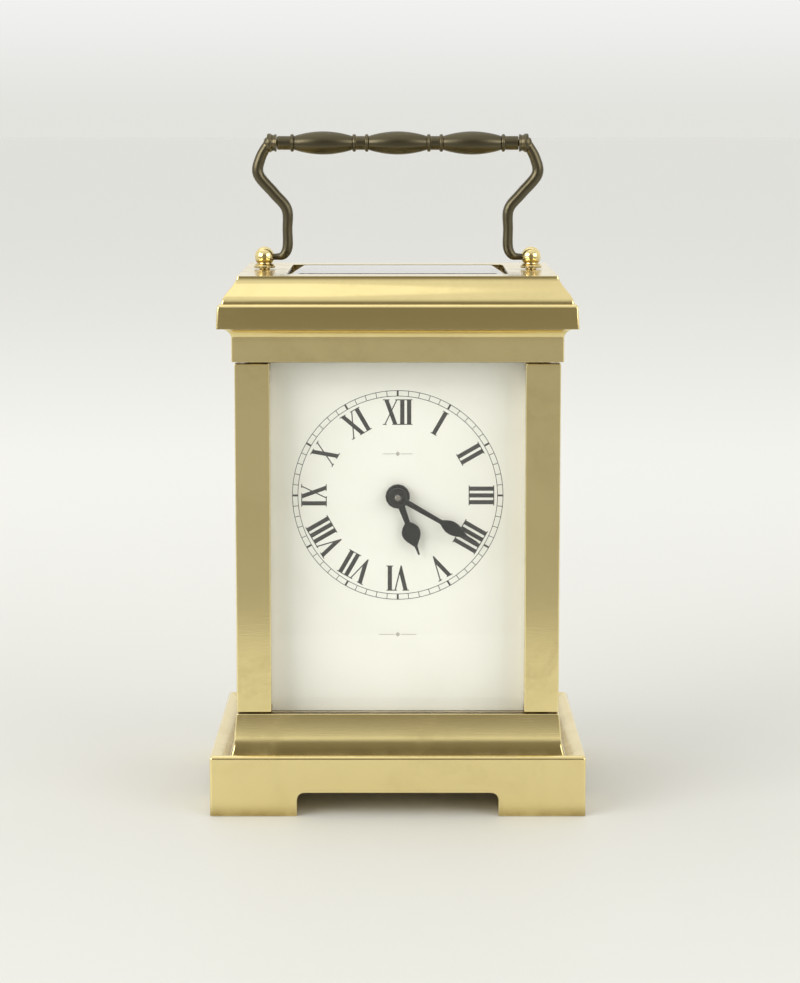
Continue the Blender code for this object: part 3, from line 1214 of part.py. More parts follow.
def platform():
    """Platform across the plates, with the potence below and the cocks above it."""
    middle_x = (ESCAPE[0] + BALANCE[0]) / 2 + 3.5 * MM
    half = PLATFORM_WIDTH / 2
    low_y, high_y = FRONT_PLATE[0], BACK_PLATE[1]
    outline = [(middle_x - half, low_y), (middle_x + half, low_y), (middle_x + half, high_y),
               (middle_x - half, high_y)]
    fine_hole = FINE_RADIUS + RUN_GAP
    holes = [circle_loop(1.2 * MM, STEPS_FINE, ESCAPE), circle_loop(fine_hole, STEPS_FINE, LEVER),
             circle_loop(fine_hole, STEPS_FINE, BALANCE)]
    plate = flat_at("platform_plate", [outline] + holes, (0, 0), PLATFORM_BOTTOM, PLATFORM_TOP)

    foot_bottom = CONTRATE[1] + CONTRATE_RADIUS - 2.6 * MM
    leg_y = ESCAPE_Y - 3.4 * MM
    half_x = 1.8 * MM
    join(plate, box("potence_leg", (ESCAPE[0] - half_x, leg_y, foot_bottom),
                    (ESCAPE[0] + half_x, leg_y + 1.2 * MM, PLATFORM_BOTTOM + SEAT_GAP)))
    join(plate, box("potence_foot", (ESCAPE[0] - half_x * 0.7, leg_y + 0.4 * MM, foot_bottom - 0.1 * MM),
                    (ESCAPE[0] + half_x * 0.7, ESCAPE_Y + 0.75 * MM, foot_bottom + 0.8 * MM)))
    drill(plate, "potence_hole", (ESCAPE[0], ESCAPE_Y, foot_bottom),
          hole_radius(FINE_RADIUS + RUN_GAP, STEPS_FINE), 4 * MM, "Z", STEPS_FINE)
    finished(plate, GILT)

    low, high = TRAIN_COCK
    reach = 2.2 * MM
    bar = [(ESCAPE[0] - reach, ESCAPE_Y - 1.2 * MM), (LEVER[0] + 1.1 * MM, ESCAPE_Y - 1.0 * MM),
           (LEVER[0] + 1.1 * MM, ESCAPE_Y + 1.0 * MM), (ESCAPE[0] + 1.6 * MM, ESCAPE_Y + 1.6 * MM),
           (ESCAPE[0] + 1.6 * MM, ESCAPE_Y + 7.4 * MM), (ESCAPE[0] - reach, ESCAPE_Y + 7.4 * MM)]
    holes = [circle_loop(fine_hole, STEPS_FINE, ESCAPE), circle_loop(fine_hole, STEPS_FINE, LEVER)]
    cock = flat_at("train_cock", [bar] + holes, (0, 0), low, high)
    join(cock, box("train_cock_foot",
                   (ESCAPE[0] - reach + 0.2 * MM, ESCAPE_Y + 4.6 * MM, PLATFORM_TOP + RUN_GAP),
                   (ESCAPE[0] + 1.4 * MM, ESCAPE_Y + 7.2 * MM, low + 0.3 * MM)))
    finished(cock, GILT)

    low, high = COCK
    foot_x = BALANCE[0] + BALANCE_RADIUS + 1.2 * MM
    bar = [(BALANCE[0] - 1.6 * MM, ESCAPE_Y - 1.2 * MM), (BALANCE[0], ESCAPE_Y - 1.9 * MM),
           (foot_x + 3.6 * MM, ESCAPE_Y - 2.8 * MM), (foot_x + 3.6 * MM, ESCAPE_Y + 2.8 * MM),
           (BALANCE[0], ESCAPE_Y + 1.9 * MM), (BALANCE[0] - 1.6 * MM, ESCAPE_Y + 1.2 * MM)]
    cock = flat_at("balance_cock", [bar], (0, 0), low, high)
    join(cock, box("balance_cock_foot", (foot_x, ESCAPE_Y - 2.4 * MM, PLATFORM_TOP + RUN_GAP),
                   (foot_x + 3.4 * MM, ESCAPE_Y + 2.4 * MM, low + 0.3 * MM)))
    setting = turned("jewel_setting", [
        (0, REGULATOR[1] + 0.2 * MM), (JEWEL_RADIUS, REGULATOR[1] + 0.2 * MM),
        (JEWEL_RADIUS, high - 0.4 * MM), (0, high - 0.4 * MM),
    ], STEPS_SMALL)
    setting.location = (BALANCE[0], ESCAPE_Y, 0)
    join(cock, setting)
    drill(cock, "balance_pivot_hole", (BALANCE[0], ESCAPE_Y, low), hole_radius(fine_hole, STEPS_FINE),
          1.6 * MM, "Z", STEPS_FINE)
    stud_x = BALANCE[0] + HAIRSPRING_RADIUS + 0.5 * MM
    stud_top = low + 0.3 * MM
    stud = turned("spring_stud", [
        (0, stud_top), (0.35 * MM, stud_top), (0.35 * MM, SPRING_Z), (0, SPRING_Z),
    ], STEPS_FINE)
    stud.location = (stud_x, ESCAPE_Y, 0)
    join(cock, stud)
    finished(cock, GILT)


def escape_wheel():
    """Escape wheel with its pinion, which dips to the contrate wheel."""
    step = 2 * math.pi / ESCAPE_TEETH
    outline = []
    for i in range(ESCAPE_TEETH):
        outline.append(polar(ESCAPE_RADIUS * 0.74, i * step))
        outline.append(polar(ESCAPE_RADIUS, i * step + 0.62 * step))
        outline.append(polar(ESCAPE_RADIUS * 0.98, i * step + 0.80 * step))
        outline.append(polar(ESCAPE_RADIUS * 0.74, i * step + 0.72 * step))
    disc = flat_at("escape_wheel", [outline], ESCAPE, LEVER_LOW, LEVER_HIGH)
    top = TRAIN_COCK[1] - 2 * RUN_GAP
    mesh_z = CONTRATE[1] + CONTRATE_RADIUS
    foot_top = mesh_z - 2.6 * MM + 0.8 * MM
    shaft = FINE_RADIUS * 1.6
    arbor = turned("escape_arbor", [
        (0, top), (FINE_RADIUS, top), (FINE_RADIUS, TRAIN_COCK[0] - RUN_GAP),
        (shaft, TRAIN_COCK[0] - RUN_GAP), (shaft, foot_top + RUN_GAP), (FINE_RADIUS, foot_top + RUN_GAP),
        (FINE_RADIUS, foot_top - 0.7 * MM), (0, foot_top - 0.7 * MM),
    ], STEPS_FINE)
    arbor.location = (*ESCAPE, 0)
    join(disc, arbor)
    gap = math.pi / 2 + math.pi / ESCAPE_LEAVES
    pinion = flat_at("escape_leaves", [gear_loop(ESCAPE_LEAVES, CONTRATE_MODULE, gap, pinion=True)],
                     ESCAPE, mesh_z - 1.4 * MM, mesh_z + 1.2 * MM)
    join(disc, pinion)
    return finished(disc, STEEL)


def pallet_lever():
    """Lever with two pallets beside the escape wheel and a fork towards the balance."""
    fork = LEVER_TO_BALANCE - 1.5 * MM
    reach = ESCAPE_RADIUS + PALLET_CLEARANCE
    angle = math.radians(36)
    tip_x = reach * math.cos(angle) - ESCAPE_TO_LEVER
    tip_y = reach * math.sin(angle)
    half = [(fork, 0.34 * MM), (fork, 0.9 * MM), (fork - 1.0 * MM, 0.85 * MM), (fork - 1.6 * MM, 0.4 * MM),
            (0.8 * MM, 0.5 * MM), (tip_x + 1.5 * MM, tip_y + 0.9 * MM),
            (tip_x + 0.7 * MM, tip_y + 1.3 * MM), (tip_x, tip_y),
            (tip_x + 0.6 * MM, tip_y - 0.3 * MM), (-0.7 * MM, 0.4 * MM)]
    outline = [(fork - 0.8 * MM, 0.31 * MM)] + half
    outline += [(x, -y) for x, y in reversed(half)] + [(fork - 0.8 * MM, -0.31 * MM)]
    lever = flat_at("pallet_lever", [outline], LEVER, LEVER_LOW, LEVER_HIGH)
    top, bottom = TRAIN_COCK[1] - 2 * RUN_GAP, PLATFORM_BOTTOM + 2 * RUN_GAP
    staff = FINE_RADIUS * 1.5
    arbor = turned("lever_arbor", [
        (0, top), (FINE_RADIUS, top), (FINE_RADIUS, TRAIN_COCK[0] - RUN_GAP),
        (staff, TRAIN_COCK[0] - RUN_GAP), (staff, PLATFORM_TOP + RUN_GAP),
        (FINE_RADIUS, PLATFORM_TOP + RUN_GAP), (FINE_RADIUS, bottom), (0, bottom),
    ], STEPS_FINE)
    arbor.location = (*LEVER, 0)
    join(lever, arbor)
    return finished(lever, STEEL)


def balance():
    """Balance wheel, its staff with the roller and pin, the hairspring and the regulator."""
    rim = BALANCE_RADIUS - 1.1 * MM
    loops = [circle_loop(BALANCE_RADIUS, 36), circle_loop(0.45 * MM + RUN_GAP, STEPS_FINE)]
    loops += crossing_loops(3, 1.5 * MM, rim, 1.0 * MM, math.pi / 3, arc_steps=7)
    finished(flat_at("balance_wheel", loops, BALANCE, BALANCE_LOW, BALANCE_HIGH), BRASS)

    top, bottom = COCK[0] + 0.6 * MM, PLATFORM_BOTTOM + 2 * RUN_GAP
    roller_low, roller_high = LEVER_HIGH + 0.5 * MM, LEVER_HIGH + 0.9 * MM
    staff = turned("balance_staff", [
        (0, top), (FINE_RADIUS, top), (FINE_RADIUS, COCK[0] - RUN_GAP), (0.45 * MM, COCK[0] - RUN_GAP),
        (0.45 * MM, BALANCE_LOW - RUN_GAP), (0.9 * MM, BALANCE_LOW - RUN_GAP),
        (0.9 * MM, BALANCE_LOW - 0.5 * MM), (0.45 * MM, BALANCE_LOW - 0.5 * MM),
        (0.45 * MM, roller_high), (1.75 * MM, roller_high),
        (1.75 * MM, roller_low), (0.45 * MM, roller_low), (0.45 * MM, PLATFORM_TOP + RUN_GAP),
        (FINE_RADIUS, PLATFORM_TOP + RUN_GAP), (FINE_RADIUS, bottom), (0, bottom),
    ], STEPS_SMALL)
    staff.location = (*BALANCE, 0)
    pin_low = LEVER_HIGH + RUN_GAP
    pin = turned("impulse_pin", [(0, roller_high - 0.1 * MM), (0.18 * MM, roller_high - 0.1 * MM),
                                 (0.18 * MM, pin_low), (0, pin_low)], STEPS_FINE)
    pin.location = (BALANCE[0] - 1.4 * MM, BALANCE[1], 0)
    join(staff, pin)
    finished(staff, STEEL)

    turns, per_turn = 4, 14
    count = turns * per_turn
    start = 0.45 * MM + 0.35 * MM
    path = []
    for i in range(count + 1):
        x, y = polar(start + (HAIRSPRING_RADIUS - start) * i / count, 2 * math.pi * i / per_turn, BALANCE)
        path.append((x, y, SPRING_Z - 0.35 * MM))
    finished(tube("hairspring", path, 0.11 * MM, sides=0), BLUED)

    low, high = REGULATOR
    ring = 1.9 * MM
    pointer = [(-8.0 * MM, 0.1 * MM), (-8.0 * MM, -0.1 * MM), (-6.5 * MM, -0.35 * MM)]
    collar = [polar(ring, math.radians(-168 + 28 * i)) for i in range(13)]
    loops = [pointer + collar + [(-6.5 * MM, 0.35 * MM)], circle_loop(JEWEL_RADIUS + RUN_GAP, STEPS_SMALL)]
    finished(flat_at("regulator", loops, BALANCE, low, high), STEEL)


# ---------------------------------------------------------------- assembly
base_plinth()
base_plate()
for x_side, x_label in ((-1, "left"), (1, "right")):
    pillar(f"pillar_front_{x_label}", x_side, -1)
    pillar(f"pillar_rear_{x_label}", x_side, 1)
top_cornice()
glazing()
door()
handle()
dial()
hands()
plates()
train()
barrel()
click_work()
motion_work()
platform()
escape_wheel()
pallet_lever()
balance()
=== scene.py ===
# %% [markdown]
# # A brass carriage clock, piece by piece
#
# A carriage clock is a small glazed case with a folding handle. A spring-driven movement stands
# between two brass plates, and the regulating part, the platform, lies flat on top of it, where it
# can be seen through the pane in the lid.
#
# The working model of the clock comes first: its bodies, joints and sizes are fixed. This lesson
# builds the visible surface around it. Every size is read from that model, so nothing has to be
# fitted afterwards.

# %% Load the working model
import json
import math

import bmesh
import bpy
from mathutils import Matrix, Vector


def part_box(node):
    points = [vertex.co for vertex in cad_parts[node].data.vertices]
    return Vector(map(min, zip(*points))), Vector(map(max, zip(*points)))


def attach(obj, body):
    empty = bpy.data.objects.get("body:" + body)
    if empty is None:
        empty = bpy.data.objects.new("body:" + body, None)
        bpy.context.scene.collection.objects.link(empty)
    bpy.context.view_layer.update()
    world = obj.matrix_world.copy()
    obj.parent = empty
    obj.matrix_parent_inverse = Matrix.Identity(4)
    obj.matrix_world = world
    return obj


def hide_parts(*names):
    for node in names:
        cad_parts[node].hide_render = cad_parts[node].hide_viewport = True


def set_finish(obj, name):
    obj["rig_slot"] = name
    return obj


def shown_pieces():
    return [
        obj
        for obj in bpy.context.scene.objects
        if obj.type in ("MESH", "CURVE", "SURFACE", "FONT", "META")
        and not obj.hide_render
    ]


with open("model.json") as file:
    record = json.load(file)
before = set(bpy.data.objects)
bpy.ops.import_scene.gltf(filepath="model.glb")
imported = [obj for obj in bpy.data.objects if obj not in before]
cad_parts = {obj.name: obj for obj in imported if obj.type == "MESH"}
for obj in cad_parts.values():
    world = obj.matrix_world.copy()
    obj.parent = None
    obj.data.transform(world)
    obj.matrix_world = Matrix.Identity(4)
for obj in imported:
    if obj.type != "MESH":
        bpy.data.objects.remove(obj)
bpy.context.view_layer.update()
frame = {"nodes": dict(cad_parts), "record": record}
NODES = frame["nodes"]
BODIES = frame["record"]["behaviour"]["bodies"]
BODY_OF = {node: body for body, members in BODIES.items() for node in members}
MM = 0.001

# %% [markdown]
# ## Camera
#
# The clock is looked at square on, from a little above the handle. The lens is long, so that the
# case's sides stay almost parallel. A short lens close by would make them lean together, as they do
# in a hasty snapshot. The distance is kept from the base's own front face.

# %% Camera
IMAGE_HEIGHT = 983  # the picture is 800 wide
FOCAL_IN_PICTURE_UNITS = 2800
SENSOR = 36.0
STAND_OFF = 597 * MM  # from the base's front to the lens
EYE_HEIGHT = 150.6 * MM
LOOK_DOWN = 7.54  # degrees
base_low, base_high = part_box("base_plinth")
camera_data = bpy.data.cameras.new("portrait_lens")
camera_data.sensor_width = SENSOR
camera_data.lens = SENSOR * FOCAL_IN_PICTURE_UNITS / IMAGE_HEIGHT
camera_data.clip_start = 0.01
camera = bpy.data.objects.new("portrait_camera", camera_data)
bpy.context.scene.collection.objects.link(camera)
camera.location = (0.5 * MM, base_low.y - STAND_OFF, EYE_HEIGHT)
camera.rotation_euler = (math.radians(90 - LOOK_DOWN), 0, 0)
bpy.context.scene.camera = camera
print("lens", round(camera_data.lens, 1), "mm, camera", [round(v, 3) for v in camera.location])

# %% [markdown]
# ## Small tools of the bench
#
# Most pieces of a clock are made in one of three ways: turned in a lathe, cut from sheet, or
# shaped as a moulding that runs round a block. Each way gets one helper. A fourth one takes a
# working part as it is, welds its triangles into clean faces and breaks its sharp edges, the way a
# clockmaker draws a file along every edge.


# %% Put a piece in its place
def made(name, bm):
    """Turn a bmesh into an object."""
    mesh = bpy.data.meshes.new(name)
    bm.to_mesh(mesh)
    bm.free()
    piece = bpy.data.objects.new(name, mesh)
    bpy.context.scene.collection.objects.link(piece)
    return piece


def smooth_shaded(piece, sharp=32):
    """Shade smooth, but keep edges crisp where the faces turn by more than the given degrees."""
    piece.data.shade_smooth()
    piece.data.set_sharp_from_angle(angle=math.radians(sharp))
    return piece


def settled(piece):
    """Apply a piece's modifiers and its own transform, so that its mesh lies where it is."""
    bpy.context.view_layer.update()
    evaluated = piece.evaluated_get(bpy.context.evaluated_depsgraph_get())
    mesh = bpy.data.meshes.new_from_object(evaluated)
    mesh.transform(piece.matrix_world)
    name = piece.name
    bpy.data.objects.remove(piece, do_unlink=True)
    fresh = bpy.data.objects.new(name, mesh)
    bpy.context.scene.collection.objects.link(fresh)
    fresh.name = name
    return fresh


def softened(piece, width, angle=40, segments=2):
    """Break the sharp edges with a narrow bevel."""
    bevel = piece.modifiers.new("broken_edges", "BEVEL")
    bevel.width = width
    bevel.segments = segments
    bevel.limit_method = "ANGLE"
    bevel.angle_limit = math.radians(angle)
    bevel.harden_normals = True
    return piece


def stands_for(piece, node, slot):
    """The piece takes over from a working part, and moves with its body."""
    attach(piece, BODY_OF[node])
    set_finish(piece, slot)
    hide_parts(node)
    return piece


def added(piece, body, slot):
    """The piece is an extra one, carried by a body."""
    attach(piece, body)
    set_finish(piece, slot)
    return piece


# %% Turned and cut pieces
AXES = {
    "X": Matrix.Rotation(math.pi / 2, 4, "Y"),
    "-X": Matrix.Rotation(-math.pi / 2, 4, "Y"),
    "Y": Matrix.Rotation(-math.pi / 2, 4, "X"),
    "Z": Matrix.Identity(4),
}


def turned(name, profile, centre, axis="Z", steps=64, sharp=32):
    """Turn (radius, distance along the axis) points into a solid of revolution."""
    bm = bmesh.new()
    chain = [bm.verts.new((radius, 0, height)) for radius, height in profile]
    edges = [bm.edges.new(pair) for pair in zip(chain, chain[1:])]
    bmesh.ops.spin(bm, geom=chain + edges, cent=(0, 0, 0), axis=(0, 0, 1), angle=2 * math.pi,
                   steps=steps, use_merge=True, use_duplicate=False)
    bmesh.ops.remove_doubles(bm, verts=bm.verts, dist=1e-7)
    bmesh.ops.recalc_face_normals(bm, faces=bm.faces)
    piece = made(name, bm)
    piece.data.transform(Matrix.Translation(centre) @ AXES[axis])
    return smooth_shaded(piece, sharp)


def arc(centre, radius, start, end, steps):
    """Points of an arc, angles in degrees."""
    span = math.radians(end - start)
    first = math.radians(start)
    return [
        (centre[0] + radius * math.cos(first + span * i / steps),
         centre[1] + radius * math.sin(first + span * i / steps))
        for i in range(steps + 1)
    ]


def block(name, low, high):
    """Plain box between two corners, used as a cutter or as raw stock."""
    bm = bmesh.new()
    bmesh.ops.create_cube(bm, size=1.0)
    for vert in bm.verts:
        for i in range(3):
            vert.co[i] = (low[i] + high[i]) / 2 + vert.co[i] * (high[i] - low[i])
    return made(name, bm)


def carved(piece, tools):
    """Cut the tools from the piece and throw the tools away."""
    for tool in tools:
        modifier = piece.modifiers.new(tool.name, "BOOLEAN")
        modifier.operation = "DIFFERENCE"
        modifier.solver = "EXACT"
        modifier.object = tool
    result = settled(piece)
    for tool in tools:
        bpy.data.objects.remove(tool, do_unlink=True)
    return result


def refined(node, slot, edge=0.0, sharp=42):
    """A working part with clean faces, broken edges and smooth round surfaces."""
    bm = bmesh.new()
    bm.from_mesh(NODES[node].data)
    bmesh.ops.remove_doubles(bm, verts=bm.verts, dist=1e-6)
    bmesh.ops.dissolve_limit(bm, angle_limit=math.radians(0.5), verts=bm.verts, edges=bm.edges)
    piece = smooth_shaded(made(f"{node}_finished", bm), sharp)
    if edge:
        softened(piece, edge, angle=50)
        piece = settled(piece)
    return stands_for(piece, node, slot)


# %% [markdown]
# ## The moulded case
#
# The base and the cornice are castings, planed to a moulding and polished. A moulding could be
# swept along a path, but its corners would then need mitring. Here a rounded rectangle is stacked
# ring on ring, each ring pushed out by the moulding's overhang at that height. The corners close
# by themselves, and each carries the small radius that polishing leaves.
#
# On the base, a hollow moulding runs down behind the plinth's lip, so that a narrow groove lies
# between them. The rail above it leans back a little. Both catch the light differently from the
# upright plinth, and that is what makes the steps readable.


# %% A moulding round a block
CORNER_RADIUS = 0.45 * MM
CORNER_STEPS = 4


def rounded_ring(half_x, half_y, radius=CORNER_RADIUS, steps=CORNER_STEPS):
    """Rounded rectangle, corner by corner."""
    points = []
    for quarter, (sx, sy) in enumerate(((1, 1), (-1, 1), (-1, -1), (1, -1))):
        corner = (sx * (half_x - radius), sy * (half_y - radius))
        points += arc(corner, radius, 90 * quarter, 90 * quarter + 90, steps)
    return points


def eased(profile, radius, steps=3):
    """Round every sharp corner inside a profile by a small arc."""
    result = [profile[0]]
    for before, here, after in zip(profile, profile[1:], profile[2:]):
        a, b, c = Vector(before), Vector(here), Vector(after)
        into, out = (b - a), (c - b)
        short = min(into.length, out.length) < 2.2 * radius
        if short or into.angle(out) < math.radians(25):  # too short to round, or hardly a corner
            result.append(here)
            continue
        start, end = b - into.normalized() * radius, b + out.normalized() * radius
        for i in range(steps + 1):
            t = i / steps
            result.append(tuple(start * (1 - t) ** 2 + b * 2 * t * (1 - t) + end * t ** 2))
    return result + [profile[-1]]


def moulding(name, half_x, half_y, profile):
    """Solid block whose sides follow (inset, height) points, lowest first."""
    bm = bmesh.new()
    rings = [
        [bm.verts.new((x, y, height)) for x, y in rounded_ring(half_x - inset, half_y - inset)]
        for inset, height in profile
    ]
    count = len(rings[0])
    for lower, upper in zip(rings, rings[1:]):
        for i in range(count):
            j = (i + 1) % count
            bm.faces.new((lower[i], lower[j], upper[j], upper[i]))
    bm.faces.new(list(reversed(rings[0])))
    bm.faces.new(rings[-1])
    return made(name, bm)


# %% Base
BREAK = 0.22 * MM  # how far a polished edge is broken
half_x, half_y, base_top = base_high.x, base_high.y, base_high.z
pillar_low, pillar_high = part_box("pillar_front_right")
RAIL = half_x - pillar_high.x - 0.6 * MM  # how far the rail stands back from the plinth's face
RAIL_HEIGHT = 4.8 * MM
COVE = 3.4 * MM
COVE_STEPS = 12
ROUND = 0.8 * MM  # radius of the nosing on the plinth and on the slab
RAIL_LEAN = 0.5 * MM  # how far the rail's head stands behind its foot
band_top = base_top - RAIL_HEIGHT - COVE
COVE_TURN = math.radians(22)  # how far the cove turns outward at its foot
GROOVE = 1.5 * MM  # the cove runs down behind the plinth's lip
cove_radius = (COVE + GROOVE) / math.sin(COVE_TURN)
base_profile = [(0, 0)] + arc((ROUND, band_top - ROUND), -ROUND, 0, -90, 8)
base_profile += [
    (RAIL - cove_radius * (1 - math.cos(a)), band_top + COVE - cove_radius * math.sin(a))
    for a in (COVE_TURN * (1 - i / COVE_STEPS) for i in range(COVE_STEPS + 1))
]
base_profile += [(RAIL + RAIL_LEAN, base_top)]
base = moulding("moulded_base", half_x, half_y, eased(base_profile, BREAK))

FOOT_WIDTH = 19 * MM
FOOT_HEIGHT = 5.2 * MM
floor_low, floor_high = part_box("base_plate")
clear = 0.3 * MM  # around the floor plate
gap = 5 * MM  # how far a cutter passes out of the metal
recess_low = (floor_low.x - clear, floor_low.y - clear, floor_low.z - clear)
recess_high = (floor_high.x + clear, floor_high.y + clear, base_top + gap)
lip = 5 * MM  # ledge that the floor plate lies on
hollow_low = (recess_low[0] + lip, recess_low[1] + lip, -gap)
hollow_high = (recess_high[0] - lip, recess_high[1] - lip, floor_low.z)


def foot_gap(name, low, high):
    """Cutter for the space between two feet, with rounded upper corners."""
    cutter = softened(block(name, low, high), 1.6 * MM, segments=5)
    return settled(cutter)


reach = half_x + half_y
base = carved(base, [
    block("floor_recess", recess_low, recess_high),
    block("base_hollow", hollow_low, hollow_high),
    foot_gap("gap_front", (FOOT_WIDTH - half_x, -reach, -gap), (half_x - FOOT_WIDTH, reach, FOOT_HEIGHT)),
    foot_gap("gap_side", (-reach, FOOT_WIDTH - half_y, -gap), (reach, half_y - FOOT_WIDTH, FOOT_HEIGHT)),
])
base = settled(softened(smooth_shaded(base, 24), 0.18 * MM, angle=62))
stands_for(base, "base_plinth", "polished_brass")
print("base", len(base.data.polygons), "faces")

# %% [markdown]
# ## Cornice
#
# The lid is one casting too: a frieze over the pillars, a small cove, the square slab, and a crown
# that curves up to the handle. A wide opening holds the pane over the platform. The crown's curve
# is half a wave of a cosine, which is flat at both ends like a moulding cut with a form tool.

# %% Cornice
top_low, top_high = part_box("top_cornice")
glass_low, glass_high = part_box("top_glass")
slab_x, slab_y = top_high.x, top_high.y
case_top = top_high.z
FRIEZE = 5.2 * MM
TOP_COVE = 2.1 * MM
SLAB = 5.3 * MM
frieze_inset = slab_x - pillar_high.x - 0.6 * MM
slab_foot = top_low.z + FRIEZE + TOP_COVE
slab_head = slab_foot + SLAB
SLAB_LEAN = 0.22 * MM  # how far the slab's head stands behind its foot
CROWN_INSET = 1.0 * MM
CROWN_REACH = 3.2 * MM  # how far the crown draws in on its way up
CROWN_STEPS = 20
top_profile = [(frieze_inset, top_low.z)]
cove_reach = frieze_inset - 0.4 * MM
top_profile += [
    (frieze_inset - cove_reach * (1 - math.cos(a)), top_low.z + FRIEZE + TOP_COVE * math.sin(a))
    for a in (math.radians(90 * i / COVE_STEPS) for i in range(COVE_STEPS + 1))
]
top_profile += [(0, slab_foot)]
top_profile += arc((ROUND + SLAB_LEAN, slab_head - ROUND), -ROUND, 0, -90, 8)
top_profile += [
    (CROWN_INSET + 0.1 * MM + CROWN_REACH * (1 - math.cos(math.pi * share)) / 2,
     slab_head + (case_top - slab_head) * share)
    for share in (i / CROWN_STEPS for i in range(CROWN_STEPS + 1))
]
cornice = moulding("moulded_cornice", slab_x, slab_y, eased(top_profile, BREAK))

ceiling_low = (recess_low[0], recess_low[1], top_low.z - gap)
ceiling_high = (recess_high[0], recess_high[1], top_low.z + 4 * MM)
ledge = 1.8 * MM  # the pane in the lid rests on it
rim = 0.3 * MM  # clearance round that pane
opening = (glass_high.x + rim - ledge, glass_high.y + rim - ledge)
post_low, post_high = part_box("handle_post_right")
post_x = (post_low.x + post_high.x) / 2
tenon = 1.32 * MM  # radius of the bore for a handle post
depth = 3.4 * MM
tenon_holes = [
    turned(f"tenon_bore_{i}", [(0, depth), (tenon, depth), (tenon, -depth), (0, -depth)],
           (side * post_x, 0, case_top))
    for i, side in enumerate((-1, 1))
]
cornice = carved(cornice, [
    block("ceiling", ceiling_low, ceiling_high),
    block("lid_opening", (-opening[0], -opening[1], top_low.z), (opening[0], opening[1], case_top + gap)),
    block("lid_rebate", (-opening[0] - ledge, -opening[1] - ledge, glass_low.z - rim),
          (opening[0] + ledge, opening[1] + ledge, case_top + gap)),
] + tenon_holes)
cornice = settled(softened(smooth_shaded(cornice, 24), 0.15 * MM, angle=62))
stands_for(cornice, "top_cornice", "polished_brass")
print("cornice", len(cornice.data.polygons), "faces")

# %% [markdown]
# ## Pillars
#
# The four pillars are square brass bar with a groove milled down each inner face for the panes.
# The working parts already have the grooves in the right places, so they are kept and their edges
# are broken. The broken edge is what draws the thin bright line down a polished pillar.

# %% Pillars
for end in ("front", "rear"):
    for side in ("left", "right"):
        refined(f"pillar_{end}_{side}", "polished_brass", edge=0.3 * MM)
print("pillars", round((pillar_high.z - pillar_low.z) / MM, 1), "mm tall")

# %% [markdown]
# ## Folding handle
#
# Two forged arms rise from the posts, swell outwards and come back to a turned grip with three
# olive-shaped swellings. The arms are drawn as a smooth curve with a round section that is thicker
# in the middle of its length, since a curve takes a radius at each point. The grip is turned, with
# a fine bead at each end of every olive, as a turner would leave.

# %% Grip
grip_low, grip_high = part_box("handle_grip")
grip_z = (grip_low.z + grip_high.z) / 2
grip_radius = (grip_high.z - grip_low.z) / 2
NECK = 1.55 * MM
GRIP_HALF = 27 * MM
OLIVE_LENGTH = 13.0 * MM
OLIVE_SPACING = 16.7 * MM
BEAD = 0.45 * MM


def olive(middle):
    """Swelling of the grip between two small beads, from its right end to its left."""
    half = OLIVE_LENGTH / 2
    swell = grip_radius - NECK
    swelling = [
        (NECK + swell * math.cos(math.pi * (i / 24 - 0.5)) ** 0.85, middle + half * (1 - i / 12))
        for i in range(1, 24)
    ]
    beads = [
        [(NECK + BEAD * math.sin(math.radians(30 * k)), middle + sign * (half + BEAD) + BEAD
          * math.cos(math.radians(30 * k))) for k in range(7)]
        for sign in (1, -1)
    ]
    return beads[0] + swelling + beads[1]


tenon_end = grip_high.x
profile = [(0, tenon_end), (NECK / 2, tenon_end), (NECK / 2, GRIP_HALF), (NECK * 0.9, GRIP_HALF),
           (NECK, GRIP_HALF - 0.15 * MM)]
for middle in (OLIVE_SPACING, 0, -OLIVE_SPACING):
    profile += olive(middle)
profile += [(NECK, 0.15 * MM - GRIP_HALF), (NECK * 0.9, -GRIP_HALF), (NECK / 2, -GRIP_HALF),
            (NECK / 2, -tenon_end), (0, -tenon_end)]
grip = turned("turned_grip", profile, (0, 0, grip_z), "X", steps=72)
stands_for(grip, "handle_grip", "bronzed_brass")
print("grip", round(2 * tenon_end / MM, 1), "mm long")

# %% Arms
PIVOT_Z = case_top + 2.8 * MM
ARM = 1.22 * MM  # radius of the bar at its full thickness
rise = grip_z - PIVOT_Z
foot_x = 24.8 * MM
bulge_x = 31.25 * MM
ARM_KNOTS = [  # distance out, height above the pivot, share of the full thickness
    (post_x + 0.5 * MM, 0.0, 0.60),
    (foot_x + 2.4 * MM, 0.0, 0.60),
    (foot_x + 0.9 * MM, 0.4 * MM, 0.82),
    (foot_x, 2.2 * MM, 0.95),
    (foot_x, 0.24 * rise, 0.92),
    (foot_x + 0.15 * MM, 0.42 * rise, 1.0),
    (foot_x + 3.0 * MM, 0.56 * rise, 1.03),
    (bulge_x, 0.725 * rise, 1.05),
    (bulge_x - 0.5 * MM, 0.87 * rise, 1.0),
    (GRIP_HALF + 1.9 * MM, rise, 0.92),
]


def spline(points, steps):
    """Smooth chain through the points."""
    chain = []
    for i in range(len(points) - 1):
        p0, p1 = Vector(points[max(i - 1, 0)]), Vector(points[i])
        p2, p3 = Vector(points[i + 1]), Vector(points[min(i + 2, len(points) - 1)])
        for step in range(steps):
            t = step / steps
            chain.append(0.5 * (2 * p1 + (p2 - p0) * t + (2 * p0 - 5 * p1 + 4 * p2 - p3) * t * t
                                + (3 * p1 - p0 - 3 * p2 + p3) * t ** 3))
    return chain + [Vector(points[-1])]


